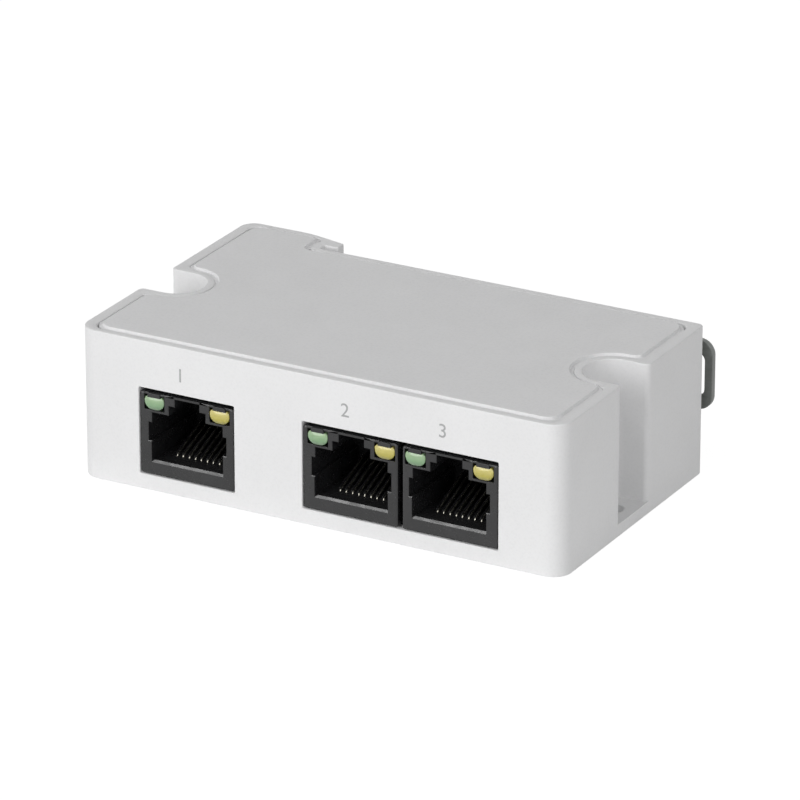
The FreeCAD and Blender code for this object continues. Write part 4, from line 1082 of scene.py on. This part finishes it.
# the spring is a spiral swept by its wire
def springTree():
    tree = newTree("coilSpring", "Coil", {
        "Turns": "Float", "Radius": "Float", "Length": "Float", "Wire": "Float", "Finish": "Material",
    })
    given = addNode(tree, "NodeGroupInput").outputs
    spiral = addNode(tree, "GeometryNodeCurveSpiral", {
        "Resolution": 28, "Rotations": given["Turns"], "Start Radius": given["Radius"],
        "End Radius": given["Radius"], "Height": given["Length"],
    })
    section = addNode(tree, "GeometryNodeCurvePrimitiveCircle", {"Resolution": 12, "Radius": given["Wire"]})
    sweep = {"Curve": spiral, "Profile Curve": section, "Fill Caps": True}
    return endTree(tree, addNode(tree, "GeometryNodeCurveToMesh", sweep), given["Finish"])


def makeSpring():
    piece = bpy.data.objects.new("latchCoilSpring", bpy.data.meshes.new("latchCoilSpring"))
    scene.collection.objects.link(piece)
    sizes = {"Radius": spring["radius"], "Length": spring["end"] - spring["start"], "Wire": spring["wire"]}
    lengths = {key: size * mm for key, size in sizes.items()}
    grow(piece, springTree(), Turns=spring["turns"], Finish=metals["springSteel"], **lengths)
    for v in piece.data.vertices:  # the spiral stands on z, so it is laid along x
        x, y, z = v.co
        v.co = (z + spring["start"] * mm, y + spring["depth"] * mm, case["latchLevel"] * mm - x)
    return piece


coilSpring = makeSpring()
finishPiece(coilSpring, metals["springSteel"], stands=["latch_spring"], sharp=60)
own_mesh(coilSpring)
print("latch and spring made")

# board screws

screw = {
    "head": 1.9, "rise": 1.3, "shank": 1.0, "length": 7.0, "recess": 0.7, "arm": 1.0, "slim": 0.2,
    "places": ((-33.8, 14.6), (33.8, -14.6)),
}


def makeScrews():
    bm = bmesh.new()
    level = case["boardOver"]
    top, tip = level + screw["rise"], level - screw["length"]
    arm, slim = screw["arm"], screw["slim"]
    for x, y in screw["places"]:
        corners, cross = [(arm, -slim), (arm, slim), (slim, slim)], []
        for _ in range(4):
            cross += [Vector((x + dx, y + dy)) for dx, dy in corners]
            corners = [(-dy, dx) for dx, dy in corners]
        steps = [(0.9, level), (0, level), (0, level + 0.45)] + roundOut(0.75, top, 5)
        head = loft(bm, circle2(x, y, screw["head"], 36), steps, upright)
        slot = loft(bm, cross, [(0, top), (0.08, top - screw["recess"])], upright)
        cap(bm, head[-1], [slot[0]])
        cap(bm, slot[-1])
        shank = circle2(x, y, screw["shank"], 36)
        stem = loft(bm, shank, [(0, level), (0, tip + 0.8), (0.6, tip)], upright)
        cap(bm, head[0], [stem[0]])
        cap(bm, stem[-1])
    return newObject("boardScrews", bm)


finishPiece(makeScrews(), metals["screwSteel"], stands=["board_screws"])
print("board screws made")

# printed numbers over the sockets

numbers = {
    "size": 3.02, "level": 18.15, "proud": 0.012, "depth": 0.006,
    "places": {"1": -22.6, "2": 4.8, "3": 20.7},
}


def makeNumber(text, x):
    face = bpy.data.curves.new(f"number{text}", "FONT")
    face.body = text
    face.size = numbers["size"] * mm
    face.align_x = "CENTER"
    face.extrude = numbers["depth"] * mm
    holder = bpy.data.objects.new(f"number{text}Text", face)
    scene.collection.objects.link(holder)
    bpy.context.view_layer.update()
    mesh = bpy.data.meshes.new_from_object(holder.evaluated_get(bpy.context.evaluated_depsgraph_get()))
    bpy.data.objects.remove(holder)
    bm = bmesh.new()
    bm.from_mesh(mesh)
    for v in bm.verts:
        u, w, depth = v.co
        v.co = (u + x * mm, (case["front"] - numbers["proud"] / 2) * mm - depth, w + numbers["level"] * mm)
    finishPiece(newObject(f"printedNumber{text}", bm), ink)


for text, x in numbers["places"].items():
    makeNumber(text, x)
print("numbers printed")

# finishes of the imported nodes, by material slot

nodeFinish = {
    "carrier_plastic": plastics["carrierBlack"],
    "package_black": plastics["packageBlack"],
    "ferrite": plastics["ferriteGrey"],
    "ceramic": plastics["ceramicTan"],
    "capacitor_can": metals["canAluminium"],
    "crystal_can": metals["crystalCan"],
    "board_green": boardMask,
    "white_plastic": plastics["shellWhite"],
    "cover_plastic": plastics["coverWhite"],
    "black_plastic": plastics["jackBlack"],
    "contact_metal": metals["contactGold"],
    "green_lens": lenses["lensGreen"],
    "yellow_lens": lenses["lensYellow"],
    "screw_steel": metals["screwSteel"],
    "latch_steel": metals["latchSteel"],
    "spring_steel": metals["springSteel"],
}
for entry in frame["record"]["subparts"]:
    node = frame["nodes"][entry["node"]]
    finish = nodeFinish[entry["material_slot"]]
    for slot in node.material_slots:
        slot.material = finish
    if not node.material_slots:
        node.data.materials.append(finish)
print("inner parts finished")

# studio

studio = {
    "world": 0.3,
    "lights": {
        "front": {"place": (-0.35, -1.1, 0.35), "size": 0.9, "power": 6.3},
        "side": {"place": (0.85, -0.55, 0.45), "size": 0.7, "power": 2.4},
        "over": {"place": (-0.53, -0.46, 0.97), "size": 0.25, "power": 1.8},
    },
    "aim": Vector((0.0, 0.0, 0.012)),
    "floor": 3.0,
    "floorLevel": -0.00002,
    "floorGrey": 0.92,
    "shadowShare": 0.2,
    "glow": 1.17,
}
pureWhite = (1, 1, 1, 1)


def aimAt(item, target):
    item.rotation_mode = "QUATERNION"
    item.rotation_quaternion = (target - item.location).to_track_quat("-Z", "Y")


def makeLight(name, values):
    data = bpy.data.lights.new(name, "AREA")
    data.shape = "DISK"
    data.size = values["size"]
    data.energy = values["power"]
    light = bpy.data.objects.new(name, data)
    light.location = values["place"]
    scene.collection.objects.link(light)
    aimAt(light, studio["aim"])


# 1 for a camera, gloss or glass ray, which sees white, and 0 for one that only lights
def seenRay(tree):
    rays = addNode(tree, "ShaderNodeLightPath").outputs
    seen = maths(tree, "MAXIMUM", rays["Is Camera Ray"], rays["Is Glossy Ray"])
    return maths(tree, "MAXIMUM", seen, rays["Is Transmission Ray"])


def makeWorld():
    world = bpy.data.worlds.new("studioWorld")
    world.use_nodes = True
    tree = world.node_tree
    tree.nodes.clear()
    plain = addNode(tree, "ShaderNodeBackground", {"Color": pureWhite, "Strength": studio["world"]})
    white = addNode(tree, "ShaderNodeBackground", {"Color": pureWhite, "Strength": 1.0})
    choose = addNode(tree, "ShaderNodeMixShader", {0: seenRay(tree), 1: plain, 2: white})
    addNode(tree, "ShaderNodeOutputWorld", {"Surface": choose})
    scene.world = world


def makeStage():
    mesh = bpy.data.meshes.new("studioFloor")
    s, level, grey = studio["floor"], studio["floorLevel"], studio["floorGrey"]
    mesh.from_pydata([(-s, -s, level), (s, -s, level), (s, s, level), (-s, s, level)], [], [(0, 1, 2, 3)])
    floor = bpy.data.objects.new("studioFloor", mesh)
    scene.collection.objects.link(floor)
    material = bpy.data.materials.new("studioFloorWhite")
    material.use_nodes = True
    tree = material.node_tree
    tree.nodes.clear()
    matt = addNode(tree, "ShaderNodeBsdfDiffuse", {"Color": (grey, grey, grey, 1)})
    glow = addNode(tree, "ShaderNodeEmission", {"Color": pureWhite, "Strength": studio["glow"]})
    share = maths(tree, "MULTIPLY", seenRay(tree), 1 - studio["shadowShare"])
    choose = addNode(tree, "ShaderNodeMixShader", {0: share, 1: matt, 2: glow})
    addNode(tree, "ShaderNodeOutputMaterial", {"Surface": choose})
    mesh.materials.append(material)


for name, values in studio["lights"].items():
    makeLight(name + "Light", values)
makeWorld()
makeStage()
scene.view_settings.view_transform = "Standard"

view = {
    "turn": 28.745, "lift": 22.324, "distance": 928.2, "target": (1.78, -0.59, 12.3),
    "lens": 284.85, "sensor": 36.0, "near": 0.05, "far": 20.0,
}


def makeCamera():
    data = bpy.data.cameras.new("photoCamera")
    data.lens = view["lens"]
    data.sensor_width = view["sensor"]
    data.clip_start = view["near"]
    data.clip_end = view["far"]
    camera = bpy.data.objects.new("photoCamera", data)
    turn, lift = math.radians(view["turn"]), math.radians(view["lift"])
    away = Vector((math.sin(turn) * math.cos(lift), -math.cos(turn) * math.cos(lift), math.sin(lift)))
    target = Vector(view["target"]) * mm
    camera.location = target + away * view["distance"] * mm
    scene.collection.objects.link(camera)
    aimAt(camera, target)
    scene.camera = camera


makeCamera()
print("studio and camera set")
